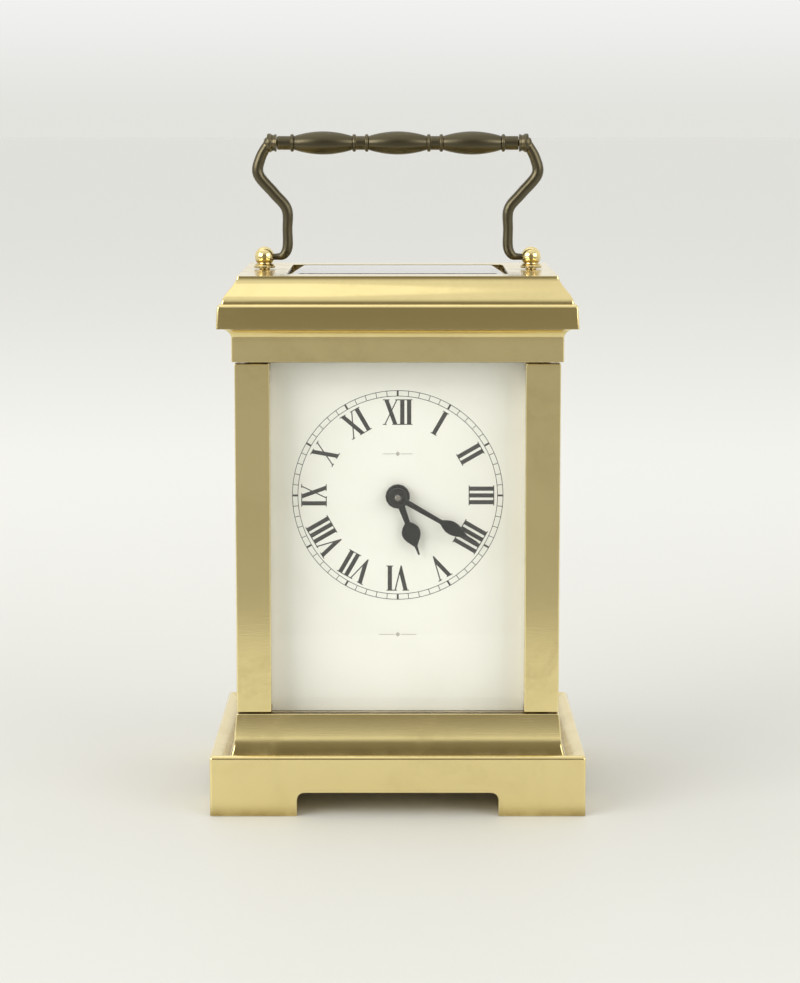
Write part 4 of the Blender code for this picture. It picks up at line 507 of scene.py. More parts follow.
def rod(name, places, radii, sides=8, width=1.0):
    """Round bar along a chain of places, with a radius at each."""
    curve = bpy.data.curves.new(name, "CURVE")
    curve.dimensions = "3D"
    curve.bevel_depth = width
    curve.bevel_resolution = sides
    curve.use_fill_caps = True
    line = curve.splines.new("POLY")
    line.points.add(len(places) - 1)
    for point, place, radius in zip(line.points, places, radii):
        point.co = (*place, 1)
        point.radius = radius / width
    piece = bpy.data.objects.new(name, curve)
    bpy.context.scene.collection.objects.link(piece)
    piece = settled(piece)
    bm = bmesh.new()
    bm.from_mesh(piece.data)
    bmesh.ops.remove_doubles(bm, verts=bm.verts, dist=1e-6)
    bmesh.ops.recalc_face_normals(bm, faces=bm.faces)
    bm.to_mesh(piece.data)
    bm.free()
    return smooth_shaded(piece, 50)


def joined(name, pieces):
    """Make several pieces into one object."""
    bm = bmesh.new()
    for piece in pieces:
        bm.from_mesh(piece.data)
        bpy.data.objects.remove(piece, do_unlink=True)
    return made(name, bm)


BOSS = [(0, 2.9), (0.55, 2.85), (1.1, 2.6), (1.3, 2.2), (1.95, 2.1), (2.1, 1.9), (2.1, 1.3), (1.9, 1.1),
        (1.75, 0.7), (1.95, 0.3), (2.0, 0.1), (1.9, 0), (0, 0)]  # radius and length in millimetres
boss_start = GRIP_HALF + 0.15 * MM
for sign, side in ((-1, "left"), (1, "right")):
    chain = spline(ARM_KNOTS, 7)
    stem = rod(f"arm_stem_{side}", [(sign * x, 0, PIVOT_Z + z) for x, z, _ in chain],
               [ARM * share for _, _, share in chain])
    boss = turned(f"arm_boss_{side}", [(radius * MM, length * MM) for radius, length in BOSS],
                  (sign * boss_start, 0, grip_z), "X" if sign > 0 else "-X", steps=48)
    arm = smooth_shaded(joined(f"forged_arm_{side}", [stem, boss]), 40)
    stands_for(arm, f"handle_arm_{side}", "bronzed_brass")
print("arms rise", round(rise / MM, 1), "mm")

# %% [markdown]
# ## Handle posts
#
# Each post is a small turned baluster screwed into the lid. Its head is bored across for the pin
# of the arm. A lathe profile gives the foot ring, the waist and the ball head in one go.

# %% Posts
head = post_high.z - PIVOT_Z
post_r = (post_high.x - post_low.x) / 2
seat = case_top + 0.3 * MM
ball = 0.92 * post_r
BALUSTER = [(0.70, 1.15), (0.72, 1.0), (0.86, 0.9), (0.92, 0.78), (0.86, 0.66), (0.95, 0.6),
            (1, 0.45), (1, 0.12), (0.96, 0), (0.5, 0)]  # share of the radius, millimetres over the seat
post_profile = [(0, post_high.z)]
post_profile += [(ball * math.sin(math.radians(a)), PIVOT_Z + head * math.cos(math.radians(a)))
                 for a in range(10, 121, 10)]
post_profile += [(post_r * share, seat + height * MM) for share, height in BALUSTER]
post_profile += [(post_r / 2, post_low.z), (0, post_low.z)]
for sign, side in ((-1, "left"), (1, "right")):
    post = turned(f"turned_post_{side}", post_profile, (sign * post_x, 0, 0), steps=56)
    stands_for(post, f"handle_post_{side}", "polished_brass")
print("posts", round(post_r * 2 / MM, 1), "mm across")

# %% [markdown]
# ## Dial
#
# The dial is a sheet of copper covered with white enamel. The numerals are painted in black
# enamel and fired, so they stand a hair above the surface. They could be a picture laid on the
# dial, but real strokes stay sharp at any distance. Each letter is built from straight strokes,
# one thick and one thin, with a serif at each end, and each numeral's foot points to the centre.

# %% Numerals
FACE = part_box("dial_plate")[0].y  # the dial's front
CENTRE = (0.0, 69 * MM)
NUMERAL_HEIGHT = 5.6 * MM
NUMERAL_FOOT = 15.6 * MM  # from the centre
THICK, THIN, SERIF = 0.92 * MM, 0.26 * MM, 0.2 * MM
LETTER_WIDTH = {"I": 1.5 * MM, "V": 3.5 * MM, "X": 3.5 * MM}
INK = 0.03 * MM  # thickness of the paint


def bar(x, y, width, height):
    """Upright bar, centred on x and standing on y."""
    left, right = x - width / 2, x + width / 2
    return [(left, y), (right, y), (right, y + height), (left, y + height)]


def letter(kind):
    """Strokes of one letter, standing on zero and centred on zero."""
    height, cut = NUMERAL_HEIGHT, SERIF / NUMERAL_HEIGHT
    wide = 0.55 * MM  # how far a serif stands out on both sides together
    if kind == "I":
        return [bar(0, SERIF, THICK, height - 2 * SERIF), bar(0, 0, THICK + wide, SERIF),
                bar(0, height - SERIF, THICK + wide, SERIF)]
    half = (LETTER_WIDTH[kind] - wide) / 2

    def at(top, bottom, share):
        return (top + (bottom - top) * share, height * (1 - share))

    ends = [(THICK / 2 - half, THICK, height - SERIF), (half - THIN / 2, THIN, height - SERIF)]
    if kind == "V":
        tip = 0.12 * MM
        meet = (2 * half - THICK - THIN) / (2 * (half - tip))
        strokes = [[(-tip, 0), (tip, 0), at(half, tip, cut), at(half - THIN, tip - THIN, cut),
                    at(half - THIN, tip - THIN, meet), at(THICK - half, THICK - tip, cut),
                    at(-half, -tip, cut)]]
    else:
        strokes = [[at(-half, half - THICK, 1 - cut), at(THICK - half, half, 1 - cut),
                    at(THICK - half, half, cut), at(-half, half - THICK, cut)]]
        whole = 4 * half - THICK - THIN
        thin_left, thin_right = (half - THIN, -half), (half, THIN - half)
        strokes.append([at(*thin_left, (2 * half - THIN - THICK) / whole),
                        at(*thin_right, (2 * half - THICK) / whole), at(*thin_right, cut),
                        at(*thin_left, cut)])
        strokes.append([at(*thin_left, 1 - cut), at(*thin_right, 1 - cut),
                        at(*thin_right, 2 * half / whole), at(*thin_left, (2 * half - THIN) / whole)])
        ends += [(THIN / 2 - half, THIN, 0), (half - THICK / 2, THICK, 0)]
    return strokes + [bar(x, y, width + wide, SERIF) for x, width, y in ends]


def inked(name, shapes):
    """Thin raised paint on the dial, from outlines in dial coordinates."""
    bm = bmesh.new()
    for shape in shapes:
        front, back = [
            [bm.verts.new((CENTRE[0] + u, y, CENTRE[1] + v)) for u, v in shape]
            for y in (FACE - INK, FACE + INK / 2)
        ]
        bm.faces.new(front)
        bm.faces.new(list(reversed(back)))
        for i in range(len(shape)):
            j = (i + 1) % len(shape)
            bm.faces.new((front[j], front[i], back[i], back[j]))
    return made(name, bm)


def around(shape, angle, foot):
    """Place an outline on the dial: its foot at a distance from the centre, turned clockwise."""
    cos, sin = math.cos(angle), math.sin(angle)
    return [(u * cos + (v + foot) * sin, (v + foot) * cos - u * sin) for u, v in shape]


shapes = []
for hour, numeral in enumerate(("XII", "I", "II", "III", "IIII", "V", "VI", "VII", "VIII", "IX", "X", "XI")):
    at_x = -sum(LETTER_WIDTH[kind] for kind in numeral) / 2
    for kind in numeral:
        at_x += LETTER_WIDTH[kind] / 2
        moved = [[(u + at_x, v) for u, v in shape] for shape in letter(kind)]
        shapes += [around(shape, math.radians(30 * hour), NUMERAL_FOOT) for shape in moved]
        at_x += LETTER_WIDTH[kind] / 2
added(inked("dial_numerals", shapes), "case", "enamel")
print("numerals", len(shapes), "strokes")

# %% Minute ring and ornament
TRACK_OUTER, TRACK_INNER, TRACK_LINE = 23.2 * MM, 22.0 * MM, 0.13 * MM
RING_STEPS = 120
MARK, HOUR_MARK = 0.14 * MM, 0.42 * MM
shapes = []
for radius in (TRACK_OUTER, TRACK_INNER):
    for i in range(RING_STEPS):
        a, b = 2 * math.pi * i / RING_STEPS, 2 * math.pi * (i + 1) / RING_STEPS
        shapes.append([(r * math.cos(t), r * math.sin(t)) for r, t in
                       ((radius - TRACK_LINE, a), (radius, a), (radius, b), (radius - TRACK_LINE, b))])
for minute in range(60):
    mark = bar(0, 0, MARK if minute % 5 else HOUR_MARK, TRACK_OUTER - TRACK_INNER - TRACK_LINE)
    shapes.append(around(mark, math.radians(6 * minute), TRACK_INNER))
added(inked("minute_ring", shapes), "case", "enamel")

DIAMOND = 0.55 * MM
shapes = []
for height, length in ((9.2 * MM, 2.6 * MM), (-31.0 * MM, 3.4 * MM)):
    shapes.append([(-DIAMOND, height), (0, height - DIAMOND), (DIAMOND, height), (0, height + DIAMOND)])
    for sign in (-1, 1):
        shapes.append(bar(sign * (DIAMOND + length) * 0.62, height - MARK / 2, length, MARK))
added(inked("dial_ornament", shapes), "case", "enamel")
print("minute ring", round(2 * TRACK_OUTER / MM, 1), "mm across")

# %% Plate, hands and collet
refined("dial_plate", "enamel", edge=0.12 * MM)
for hand in ("minute_hand", "hour_hand"):
    refined(hand, "black_steel", edge=0.1 * MM)
collet_low, collet_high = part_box("hand_collet")
near, far = collet_low.y, collet_high.y
collet = turned("domed_collet", [
    (0.72 * MM, far), (1.5 * MM, far), (1.5 * MM, far - 0.28 * MM), (1.42 * MM, far - 0.4 * MM),
    (1.2 * MM, far - 0.62 * MM), (1.0 * MM, near + 0.1 * MM), (0.9 * MM, near), (0.72 * MM, near),
    (0.72 * MM, far),
], (CENTRE[0], 0, CENTRE[1]), "Y", steps=40)
stands_for(collet, "hand_collet", "black_steel")
print("dial face at", round(FACE / MM, 2), "mm")

# %% [markdown]
# ## Rear door
#
# The rear door is a brass frame with its own bevelled pane and a turned knob. The frame's edges
# are broken like the pillars', and the knob is turned with a small foot ring.

# %% Door
refined("door_frame", "polished_brass", edge=0.22 * MM)
for end in ("upper", "lower"):
    refined(f"door_pin_{end}", "steel")
knob_low, knob_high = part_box("door_knob")
knob_x, knob_z = (knob_low.x + knob_high.x) / 2, (knob_low.z + knob_high.z) / 2
knob_r = (knob_high.x - knob_low.x) / 2
door_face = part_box("door_frame")[1].y
tip = knob_high.y
seat_y = door_face + 0.3 * MM
ball = 1.3 * MM  # height of the knob's rounded head
KNOB_FOOT = [(0.5, 1.15), (0.46, 0.85), (0.62, 0.55), (0.74, 0.45), (0.76, 0.1), (0.72, 0), (1 / 3, 0)]
profile = [(0, tip)]
profile += [(knob_r * math.sin(math.radians(a)), tip - ball * (1 - math.cos(math.radians(a))))
            for a in range(8, 137, 8)]
profile += [(knob_r * share, seat_y + height * MM) for share, height in KNOB_FOOT]
profile += [(knob_r / 3, knob_low.y), (0, knob_low.y)]
knob = turned("turned_knob", profile, (knob_x, 0, knob_z), "Y", steps=48)
stands_for(knob, "door_knob", "polished_brass")
print("knob", round(2 * knob_r / MM, 1), "mm across")

# %% [markdown]
# ## Movement
#
# The wheels, plates and cocks are already exact, because they mesh and turn in the working model.
# They only need clean faces, broken edges and smooth round walls. Turning them anew would risk
# moving a tooth, so each keeps its shape. Only the four pillars between the plates are turned
# again, because a movement pillar has rings and a waist that show through the side panes.

# %% Plates, cocks, wheels and arbors
# Each part's name, with the width of its broken edges in millimetres.
GILT = {
    "base_plate": 0.15, "front_plate": 0.15, "back_plate": 0.18, "platform_plate": 0.15, "train_cock": 0.12,
    "balance_cock": 0.14, "intermediate_wheel": 0, "centre_wheel": 0, "third_wheel": 0, "contrate_wheel": 0,
    "minute_wheel": 0, "hour_wheel": 0, "mainspring_barrel": 0.06, "barrel_cap": 0.08,
}
STEEL = {
    "intermediate_arbor": 0, "centre_arbor": 0, "third_arbor": 0, "contrate_arbor": 0, "barrel_arbor": 0.06,
    "ratchet_wheel": 0.05, "click": 0.1, "click_spring": 0, "set_arbor": 0.06, "cannon_pinion": 0,
    "escape_wheel": 0, "pallet_lever": 0.03, "balance_staff": 0, "regulator": 0.05, "mainspring": 0,
}
for node, edge in GILT.items():
    refined(node, "gilt_brass", edge * MM)
for node, edge in STEEL.items():
    refined(node, "steel", edge * MM, sharp=48)
print(len(GILT) + len(STEEL), "finished movement parts")

# %% Movement pillars
plate_back_low, plate_back_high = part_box("back_plate")
CORNERS = ("upper_left", "upper_right", "lower_left", "lower_right")
# Share of the radius, with millimetres in from the shoulder and then out from the middle.
SHOULDER = [(0.45, 0), (0.94, 0), (1, 0.15), (1, 1.5), (0.94, 1.75), (0.70, 2.0), (0.66, 2.4), (0.78, 2.8),
            (0.60, 3.6), (0.56, 6.0), (0.60, 9.0)]
WAIST = [(0.66, 2.2), (0.70, 1.5), (0.88, 1.1), (0.95, 0.5), (0.97, 0)]


def halfway(node):
    """Middle of a working part's box."""
    low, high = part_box(node)
    return (low + high) / 2


for corner in CORNERS:
    node = f"movement_pillar_{corner}"
    low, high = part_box(node)
    centre = halfway(node)
    r, end = (high.x - low.x) / 2, high.y - centre.y
    start = plate_back_low.y - centre.y - 0.1 * MM
    half = [(0, end), (r * 0.45, end)]
    half += [(r * share, start - inward * MM) for share, inward in SHOULDER]
    half += [(r * share, outward * MM) for share, outward in WAIST]
    profile = half + [(radius, -y) for radius, y in reversed(half[:-1])]
    pillar = turned(f"turned_pillar_{corner}", profile, centre, "Y", steps=40)
    stands_for(pillar, node, "gilt_brass")
print("pillars between the plates", round(2 * start / MM, 1), "mm long")

# %% [markdown]
# ## Balance and hairspring
#
# The balance is the part that the eye goes to through the lid: a rim with small screws all round,
# swinging between its cock and the platform. The screws are turned cylinders set in the rim. The
# hairspring is a flat spiral; it is drawn as a fine bar with many close turns.

# %% Balance
low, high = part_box("balance_wheel")
hub = halfway("balance_wheel")
wheel_r = (high.x - low.x) / 2
refined("balance_wheel", "polished_brass", 0.06 * MM)
RIM_SCREWS = 14
RIM_SCREW = [(0, 0.62), (0.26, 0.62), (0.32, 0.55), (0.32, 0.12), (0.14, 0.1), (0.14, -0.5), (0, -0.5)]
studs = []
for i in range(RIM_SCREWS):
    angle = 2 * math.pi * (i + 0.5) / RIM_SCREWS
    screw = turned(f"rim_screw_{i}", [(radius * MM, height * MM) for radius, height in RIM_SCREW], (0, 0, 0),
                   "X", steps=16)
    screw.data.transform(Matrix.Translation(hub) @ Matrix.Rotation(angle, 4, "Z")
                         @ Matrix.Translation((wheel_r, 0, 0)))
    studs.append(screw)
added(smooth_shaded(joined("balance_rim_screws", studs)), "balance", "gilt_brass")
print("balance", round(2 * wheel_r / MM, 1), "mm across,", RIM_SCREWS, "rim screws")

# %% Hairspring
low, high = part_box("hairspring")
spring_r = (high.x - low.x) / 2
spring_z = (low.z + high.z) / 2
TURNS, PER_TURN = 9, 40
COLLET = 0.62 * MM  # radius of the innermost turn
WIRE = 0.055 * MM
spiral = []
for i in range(TURNS * PER_TURN + 1):
    share = i / (TURNS * PER_TURN)
    radius = COLLET + (spring_r - COLLET - 0.1 * MM) * share
    angle = 2 * math.pi * i / PER_TURN
    spiral.append((hub.x + radius * math.cos(angle), hub.y + radius * math.sin(angle), spring_z))
coil = rod("spiral_hairspring", spiral, [WIRE] * len(spiral), sides=2)
stands_for(coil, "hairspring", "blued_steel")
print("hairspring", TURNS, "turns,", round(2 * spring_r / MM, 1), "mm across")

# %% [markdown]
# ## Screws and jewels
#
# Screws hold the platform, the cocks and the back plate. A slotted head is a turned disc with a
# narrow block cut out of it. Jewels are small domed rings of red stone in gilt settings, and the
# fine pivots run in them.


# %% Slotted screws
def slotted_screw(name, place, radius, height, axis, turn, body="case", slot="blued_steel"):
    """Domed screw head with a slot, standing on a surface and facing along the axis."""
    profile = [(0, height)] + [
        (radius * math.sin(math.radians(a)), height - radius * 0.22 * (1 - math.cos(math.radians(a))))
        for a in range(15, 76, 15)
    ] + [(radius, height - radius * 0.25), (radius, 0.04 * radius), (radius * 0.95, 0), (0, 0)]
    head_piece = turned(name, profile, (0, 0, 0), steps=36)
    slot_cut = block(f"{name}_slot", (-radius * 1.2, -radius * 0.11, height - radius * 0.34),
                     (radius * 1.2, radius * 0.11, height + radius))
    head_piece = carved(head_piece, [slot_cut])
    spin = Matrix.Rotation(math.radians(turn), 4, "Z")
    head_piece.data.transform(Matrix.Translation(place) @ AXES[axis] @ spin)
    smooth_shaded(head_piece)
    return added(head_piece, body, slot)


inset = 2.3 * MM  # of the platform's screws from its edges
low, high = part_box("platform_plate")
for i in range(4):
    place = (high.x - inset if i % 2 else low.x + inset, high.y - inset if i > 1 else low.y + inset, high.z)
    slotted_screw(f"platform_screw_{i}", place, 1.15 * MM, 0.7 * MM, "Z", 37 * i + 12)

low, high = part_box("train_cock")
train_place = (halfway("train_cock").x - 2.2 * MM, high.y - 2.0 * MM, high.z)
low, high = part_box("balance_cock")
FOOT_STEP = 0.98 * MM  # the balance cock's foot lies this much below its arm
balance_place = (high.x - 1.9 * MM, halfway("balance_cock").y, high.z - FOOT_STEP)
for cock, place in (("train_cock", train_place), ("balance_cock", balance_place)):
    slotted_screw(f"{cock}_screw", place, 1.0 * MM, 0.6 * MM, "Z", 64)

for i, corner in enumerate(CORNERS):
    middle = halfway(f"movement_pillar_{corner}")
    slotted_screw(f"plate_screw_{corner}", (middle.x, plate_back_high.y, middle.z), 1.7 * MM, 0.95 * MM, "Y",
                  48 * i + 20)

HEAD = 0.8 * MM
middle = halfway("click_screw")
click_screw = slotted_screw("click_screw_head", (middle.x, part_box("click_screw")[1].y - HEAD, middle.z),
                            1.2 * MM, HEAD, "Y", 30)
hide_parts("click_screw")

# %% Jewels
JEWELS = {
    "balance_jewel": ("balance_staff", 0.62 * MM, "balance_cock"),
    "escape_jewel": ("escape_wheel", 0.5 * MM, "train_cock"),
    "lever_jewel": ("pallet_lever", 0.45 * MM, "train_cock"),
}
SETTING = [(0.9, 0), (1.75, 0), (1.75, 0.1), (1.6, 0.16), (1.05, 0.16), (0.9, 0.05), (0.9, 0)]
STONE = [(0, 0.13), (0.2, 0.1), (0.3, 0.14), (0.6, 0.13), (0.85, 0.08), (0.92, 0), (0, 0)]
LEVER_PIVOT_X = -3.19 * MM
jewels = []
for name, (node, radius, cock) in JEWELS.items():
    middle = halfway(node)
    place = (LEVER_PIVOT_X, hub.y) if node == "pallet_lever" else (middle.x, middle.y)
    top_piece, body = ("regulator", "regulator_index") if cock == "balance_cock" else (cock, "case")
    seat_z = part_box(top_piece)[1].z
    ring, dome = [[(radius * share, height * MM) for share, height in shape] for shape in (SETTING, STONE)]
    setting = turned(f"{name}_setting", ring, (*place, seat_z - 0.02 * MM), steps=36)
    stone = turned(name, dome, (*place, seat_z), steps=36)
    added(setting, body, "gilt_brass")
    jewels.append(added(stone, body, "glass"))
print(len(jewels), "jewels")

# %% [markdown]
# ## Panes
#
# The panes are thick glass with a wide bevel ground round the outer face. A flat pane would look
# like nothing at all. The bevel is what shows: it bends what is behind it and draws a soft warm
# line inside each pillar. All five panes are therefore cut again, each with a bevel that fits
# inside the working pane. The lid's bevel is a little narrower than the others.


# %% Bevelled panes
def bevelled_pane(node, outward, width=3.2 * MM, depth=0.75 * MM):
    """Pane whose outer face is ground to a bevel along all four sides."""
    low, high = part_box(node)
    axis = max(range(3), key=lambda i: abs(outward[i]))
    u, v = [i for i in range(3) if i != axis]
    inner, outer = (low, high) if outward[axis] > 0 else (high, low)
    middle, half = (low + high) / 2, (high - low) / 2
    bm = bmesh.new()
    rings = []
    for inset, height in ((0.1 * MM, inner[axis]), (0, inner[axis] + 0.1 * MM * outward[axis]),
                          (0, outer[axis] - depth * outward[axis]), (width, outer[axis])):
        ring = []
        for su, sv in ((-1, -1), (1, -1), (1, 1), (-1, 1)):
            place = Vector((0, 0, 0))
            place[axis] = height
            place[u] = middle[u] + su * (half[u] - inset)
            place[v] = middle[v] + sv * (half[v] - inset)
            ring.append(bm.verts.new(place))
        rings.append(ring)
    for lower, upper in zip(rings, rings[1:]):
        for i in range(4):
            bm.faces.new((lower[i], lower[(i + 1) % 4], upper[(i + 1) % 4], upper[i]))
    bm.faces.new(rings[0])
    bm.faces.new(rings[-1])
    bmesh.ops.recalc_face_normals(bm, faces=bm.faces)
    pane = made(f"{node}_bevelled", bm)
    return stands_for(pane, node, "glass")


OUTWARD = {
    "front_glass": (0, -1, 0), "door_glass": (0, 1, 0), "left_glass": (-1, 0, 0), "right_glass": (1, 0, 0),
}
panes = [bevelled_pane(node, outward) for node, outward in OUTWARD.items()]
panes.append(bevelled_pane("top_glass", (0, 0, 1), width=2.6 * MM))
print(len(panes), "panes")

# %% [markdown]
# ## Finishes
#
# Five effects are shared by the finishes: the fine lines that lapping leaves, the marks of hands,
# the bright worn edges, the dust that settles on what faces up, and, in corners where the cloth
# can't reach, tarnish together with painted shade. Each is one node group with its own sizes, so
# every metal can carry them in its own strength. They could be painted as pictures, but patterns
# computed from the surface stay sharp and need no unwrapping.


# %% Node group tools
def effect(name, inputs, output):
    """Empty shader group with number inputs and one output; returns the tree and its two ends."""
    tree = bpy.data.node_groups.new(name, "ShaderNodeTree")
    for label, value in inputs.items():
        socket = tree.interface.new_socket(label, in_out="INPUT", socket_type="NodeSocketFloat")
        socket.default_value = value
    tree.interface.new_socket(output, in_out="OUTPUT", socket_type="NodeSocketFloat")
    return tree, tree.nodes.new("NodeGroupInput"), tree.nodes.new("NodeGroupOutput")


def put(tree, kind, values=None, links=None, **settings):
    """Add a node, set its properties and socket values, and link sockets into it."""
    node = tree.nodes.new(kind)
    for key, value in settings.items():
        setattr(node, key, value)
    for key, value in (values or {}).items():
        node.inputs[key].default_value = value
    for key, source in (links or {}).items():
        tree.links.new(source, node.inputs[key])
    return node


def ramped(tree, source, low, high, new_low=0.0, new_high=1.0):
    """Map a value from one range onto another, clamped and eased."""
    return put(tree, "ShaderNodeMapRange", {1: low, 2: high, 3: new_low, 4: new_high}, {0: source},
               interpolation_type="SMOOTHSTEP").outputs[0]


def product(tree, a, b):
    """One value times another."""
    return put(tree, "ShaderNodeMath", {}, {0: a, 1: b}, operation="MULTIPLY").outputs[0]


def here(tree):
    """Place on the piece, in metres."""
    return put(tree, "ShaderNodeTexCoord").outputs["Object"]


def clouds_of(tree, scale, detail, roughness=0.5):
    """Plain noise with a size of its own, as a value."""
    values = {"Scale": scale, "Detail": detail, "Roughness": roughness}
    return put(tree, "ShaderNodeTexNoise", values, {"Vector": here(tree)}).outputs["Fac"]


# %% Lapped grain
LAP_STRETCH = 26.0  # how much longer than wide the fine lines are

tree, given, result = effect("lapped_grain", {"Lines per metre": 9000.0}, "Height")
stretched = put(tree, "ShaderNodeVectorMath", {1: (1 / LAP_STRETCH, 1.0, 1.0)}, {0: here(tree)},
                operation="MULTIPLY")
lines = put(tree, "ShaderNodeTexNoise", {"Detail": 3.0, "Roughness": 0.6},
            {"Vector": stretched.outputs[0], "Scale": given.outputs["Lines per metre"]})
tree.links.new(lines.outputs["Fac"], result.inputs["Height"])
lapped_grain = tree

# %% Marks of handling
tree, given, result = effect("handling_marks", {"Marks per metre": 55.0, "Strength": 1.0}, "Mask")
broad = put(tree, "ShaderNodeTexNoise", {"Detail": 6.0, "Roughness": 0.62, "Distortion": 0.8},
            {"Vector": here(tree), "Scale": given.outputs["Marks per metre"]})
fine = clouds_of(tree, 900.0, 4.0)
smears = product(tree, ramped(tree, broad.outputs["Fac"], 0.42, 0.68), ramped(tree, fine, 0.3, 0.7, 0.55))
tree.links.new(product(tree, smears, given.outputs["Strength"]), result.inputs["Mask"])
handling_marks = tree

# %% Worn edges
tree, given, result = effect("worn_edges", {"Reach": 0.0004, "Strength": 1.0}, "Mask")
rounded = put(tree, "ShaderNodeBevel", {}, {"Radius": given.outputs["Reach"]}, samples=4)
true = put(tree, "ShaderNodeNewGeometry").outputs["Normal"]
turn = put(tree, "ShaderNodeVectorMath", {}, {0: rounded.outputs[0], 1: true}, operation="DOT_PRODUCT")
edge_mask = ramped(tree, turn.outputs["Value"], 0.995, 0.93)
patches = clouds_of(tree, 220.0, 4.0)
broken = product(tree, edge_mask, ramped(tree, patches, 0.3, 0.6, 0.35))
tree.links.new(product(tree, broken, given.outputs["Strength"]), result.inputs["Mask"])
worn_edges = tree

# %% Settled dust
tree, given, result = effect("settled_dust", {"Strength": 0.3}, "Mask")
upward = put(tree, "ShaderNodeSeparateXYZ", {}, {0: put(tree, "ShaderNodeNewGeometry").outputs["Normal"]})
specks = clouds_of(tree, 1500.0, 5.0, 0.7)
lying = product(tree, ramped(tree, upward.outputs["Z"], 0.6, 1.0), ramped(tree, specks, 0.5, 0.8))
tree.links.new(product(tree, lying, given.outputs["Strength"]), result.inputs["Mask"])
settled_dust = tree

# %% Tarnish and painted shade in the corners
tree, given, result = effect("corner_tarnish_and_shade", {"Reach": 0.004, "Strength": 1.0}, "Mask")
# Painted shade with tarnish: the mask rises where ambient occlusion finds the surface shut in.
hidden = put(tree, "ShaderNodeAmbientOcclusion", {}, {"Distance": given.outputs["Reach"]}, samples=6)
blotches = clouds_of(tree, 130.0, 5.0, 0.6)
closed = product(tree, ramped(tree, hidden.outputs["AO"], 0.9, 0.5), ramped(tree, blotches, 0.25, 0.6, 0.5))
tree.links.new(product(tree, closed, given.outputs["Strength"]), result.inputs["Mask"])
corner_tarnish_and_shade = tree
print([tree.name for tree in bpy.data.node_groups])

# %% [markdown]
# ## Metals
#
# A metal in this shader is its colour of reflection and its roughness. The brass is a pale yellow
# polish that goes warm and dark in the corners, with tarnish and painted shade. Gilt parts have a
# matt, grained skin. The handle has kept a dark bronze colour with a little brass showing where
# fingers rub it. All are made by one function, which mixes three colours by the masks and adds the
# fine lines as bump.


# %% Metal maker
def blank(name):
    """New material, with its node tree and its shader."""
    material = bpy.data.materials.new(name)
    material.use_nodes = True
    return material, material.node_tree, material.node_tree.nodes["Principled BSDF"]


def place_group(tree, group, **values):
    """Put one of the shared effects in a material, with its own numbers."""
    node = tree.nodes.new("ShaderNodeGroup")
    node.node_tree = group
    for label, value in values.items():
        node.inputs[label.replace("_", " ")].default_value = value
    return node.outputs[0]


def mixed(tree, mask, a, b):
    """Mix two colours, each a plain colour or another node's output."""
    node = put(tree, "ShaderNodeMix", {}, {0: mask}, data_type="RGBA")
    for index, colour in ((6, a), (7, b)):
        if isinstance(colour, bpy.types.NodeSocket):
            tree.links.new(colour, node.inputs[index])
        else:
            node.inputs[index].default_value = (*colour, 1)
    return node.outputs[2]


LINT = (0.62, 0.59, 0.52)


def metal(name, clean, tarnish_and_shade_colour, worn, roughness, spread=0.14, bump=0.12, lines=9000.0, tarnish_and_shade=1.0,
          wear=0.7, dust=0.25, marks=0.6, metallic=1.0):
    """Metal with tarnish and painted shade in the corners, worn edges, handling marks, dust and a lapped
    grain.
    """
    material, tree, shader = blank(name)
    smears = place_group(tree, handling_marks, Strength=marks)
    colour = mixed(tree, smears, clean, [c * 0.82 + t * 0.18 for c, t in zip(clean, tarnish_and_shade_colour)])
    # Tarnish and painted shade: where ambient occlusion finds a corner, the colour goes to the darker one.
    colour = mixed(tree, place_group(tree, corner_tarnish_and_shade, Strength=tarnish_and_shade), colour, tarnish_and_shade_colour)
    colour = mixed(tree, place_group(tree, worn_edges, Strength=wear), colour, worn)
    lint = place_group(tree, settled_dust, Strength=dust)
    colour = mixed(tree, lint, colour, LINT)
    tree.links.new(colour, shader.inputs["Base Color"])
    rough = ramped(tree, smears, 0.0, 1.0, roughness, roughness + spread)
    dull = put(tree, "ShaderNodeMath", {}, {0: rough, 1: lint}, operation="ADD", use_clamp=True)
    tree.links.new(dull.outputs[0], shader.inputs["Roughness"])
    shader.inputs["Metallic"].default_value = metallic
    grain = place_group(tree, lapped_grain, Lines_per_metre=lines)
    raised = put(tree, "ShaderNodeBump", {"Strength": bump, "Distance": 0.00004}, {"Height": grain})
    tree.links.new(raised.outputs[0], shader.inputs["Normal"])
    return material


# %% Metals of the clock
# Each metal has its clean colour, its colour of tarnish and painted shade, and its worn colour, and then its
# roughness.
polished_brass = metal("polished_brass", (0.87, 0.73, 0.36), (0.34, 0.235, 0.07), (0.96, 0.86, 0.56), 0.13,
                       bump=0.1)
gilt_brass = metal("gilt_brass", (0.90, 0.76, 0.42), (0.52, 0.37, 0.14), (0.96, 0.86, 0.58), 0.26,
                   bump=0.1, wear=0.45, dust=0.06, tarnish_and_shade=0.6, marks=0.22, spread=0.07)
bronzed_brass = metal("bronzed_brass", (0.115, 0.10, 0.062), (0.06, 0.05, 0.035), (0.50, 0.40, 0.20), 0.3,
                      bump=0.2, wear=0.35, spread=0.2)
steel = metal("bright_steel", (0.58, 0.57, 0.55), (0.24, 0.21, 0.18), (0.78, 0.77, 0.75), 0.22,
              bump=0.25, lines=12000.0)
blued_steel = metal("blued_steel", (0.035, 0.06, 0.22), (0.02, 0.025, 0.07), (0.12, 0.16, 0.4), 0.2,
                    bump=0.15, lines=12000.0, dust=0.05)
black_steel = metal("blackened_steel", (0.022, 0.021, 0.02), (0.01, 0.01, 0.01), (0.10, 0.095, 0.09), 0.32,
                    bump=0.1, dust=0.05, metallic=0.6)

# %% [markdown]
# ## Enamel, paint, glass and ruby
#
# Enamel is glass fused on copper, so it is white with a clear wet gloss over it and a faint orange
# peel. The painted figures are duller. Glass keeps a plain transmission, and lets shadow rays
# and diffuse rays through, so that the dial behind it is lit. Ruby is a tinted glass.


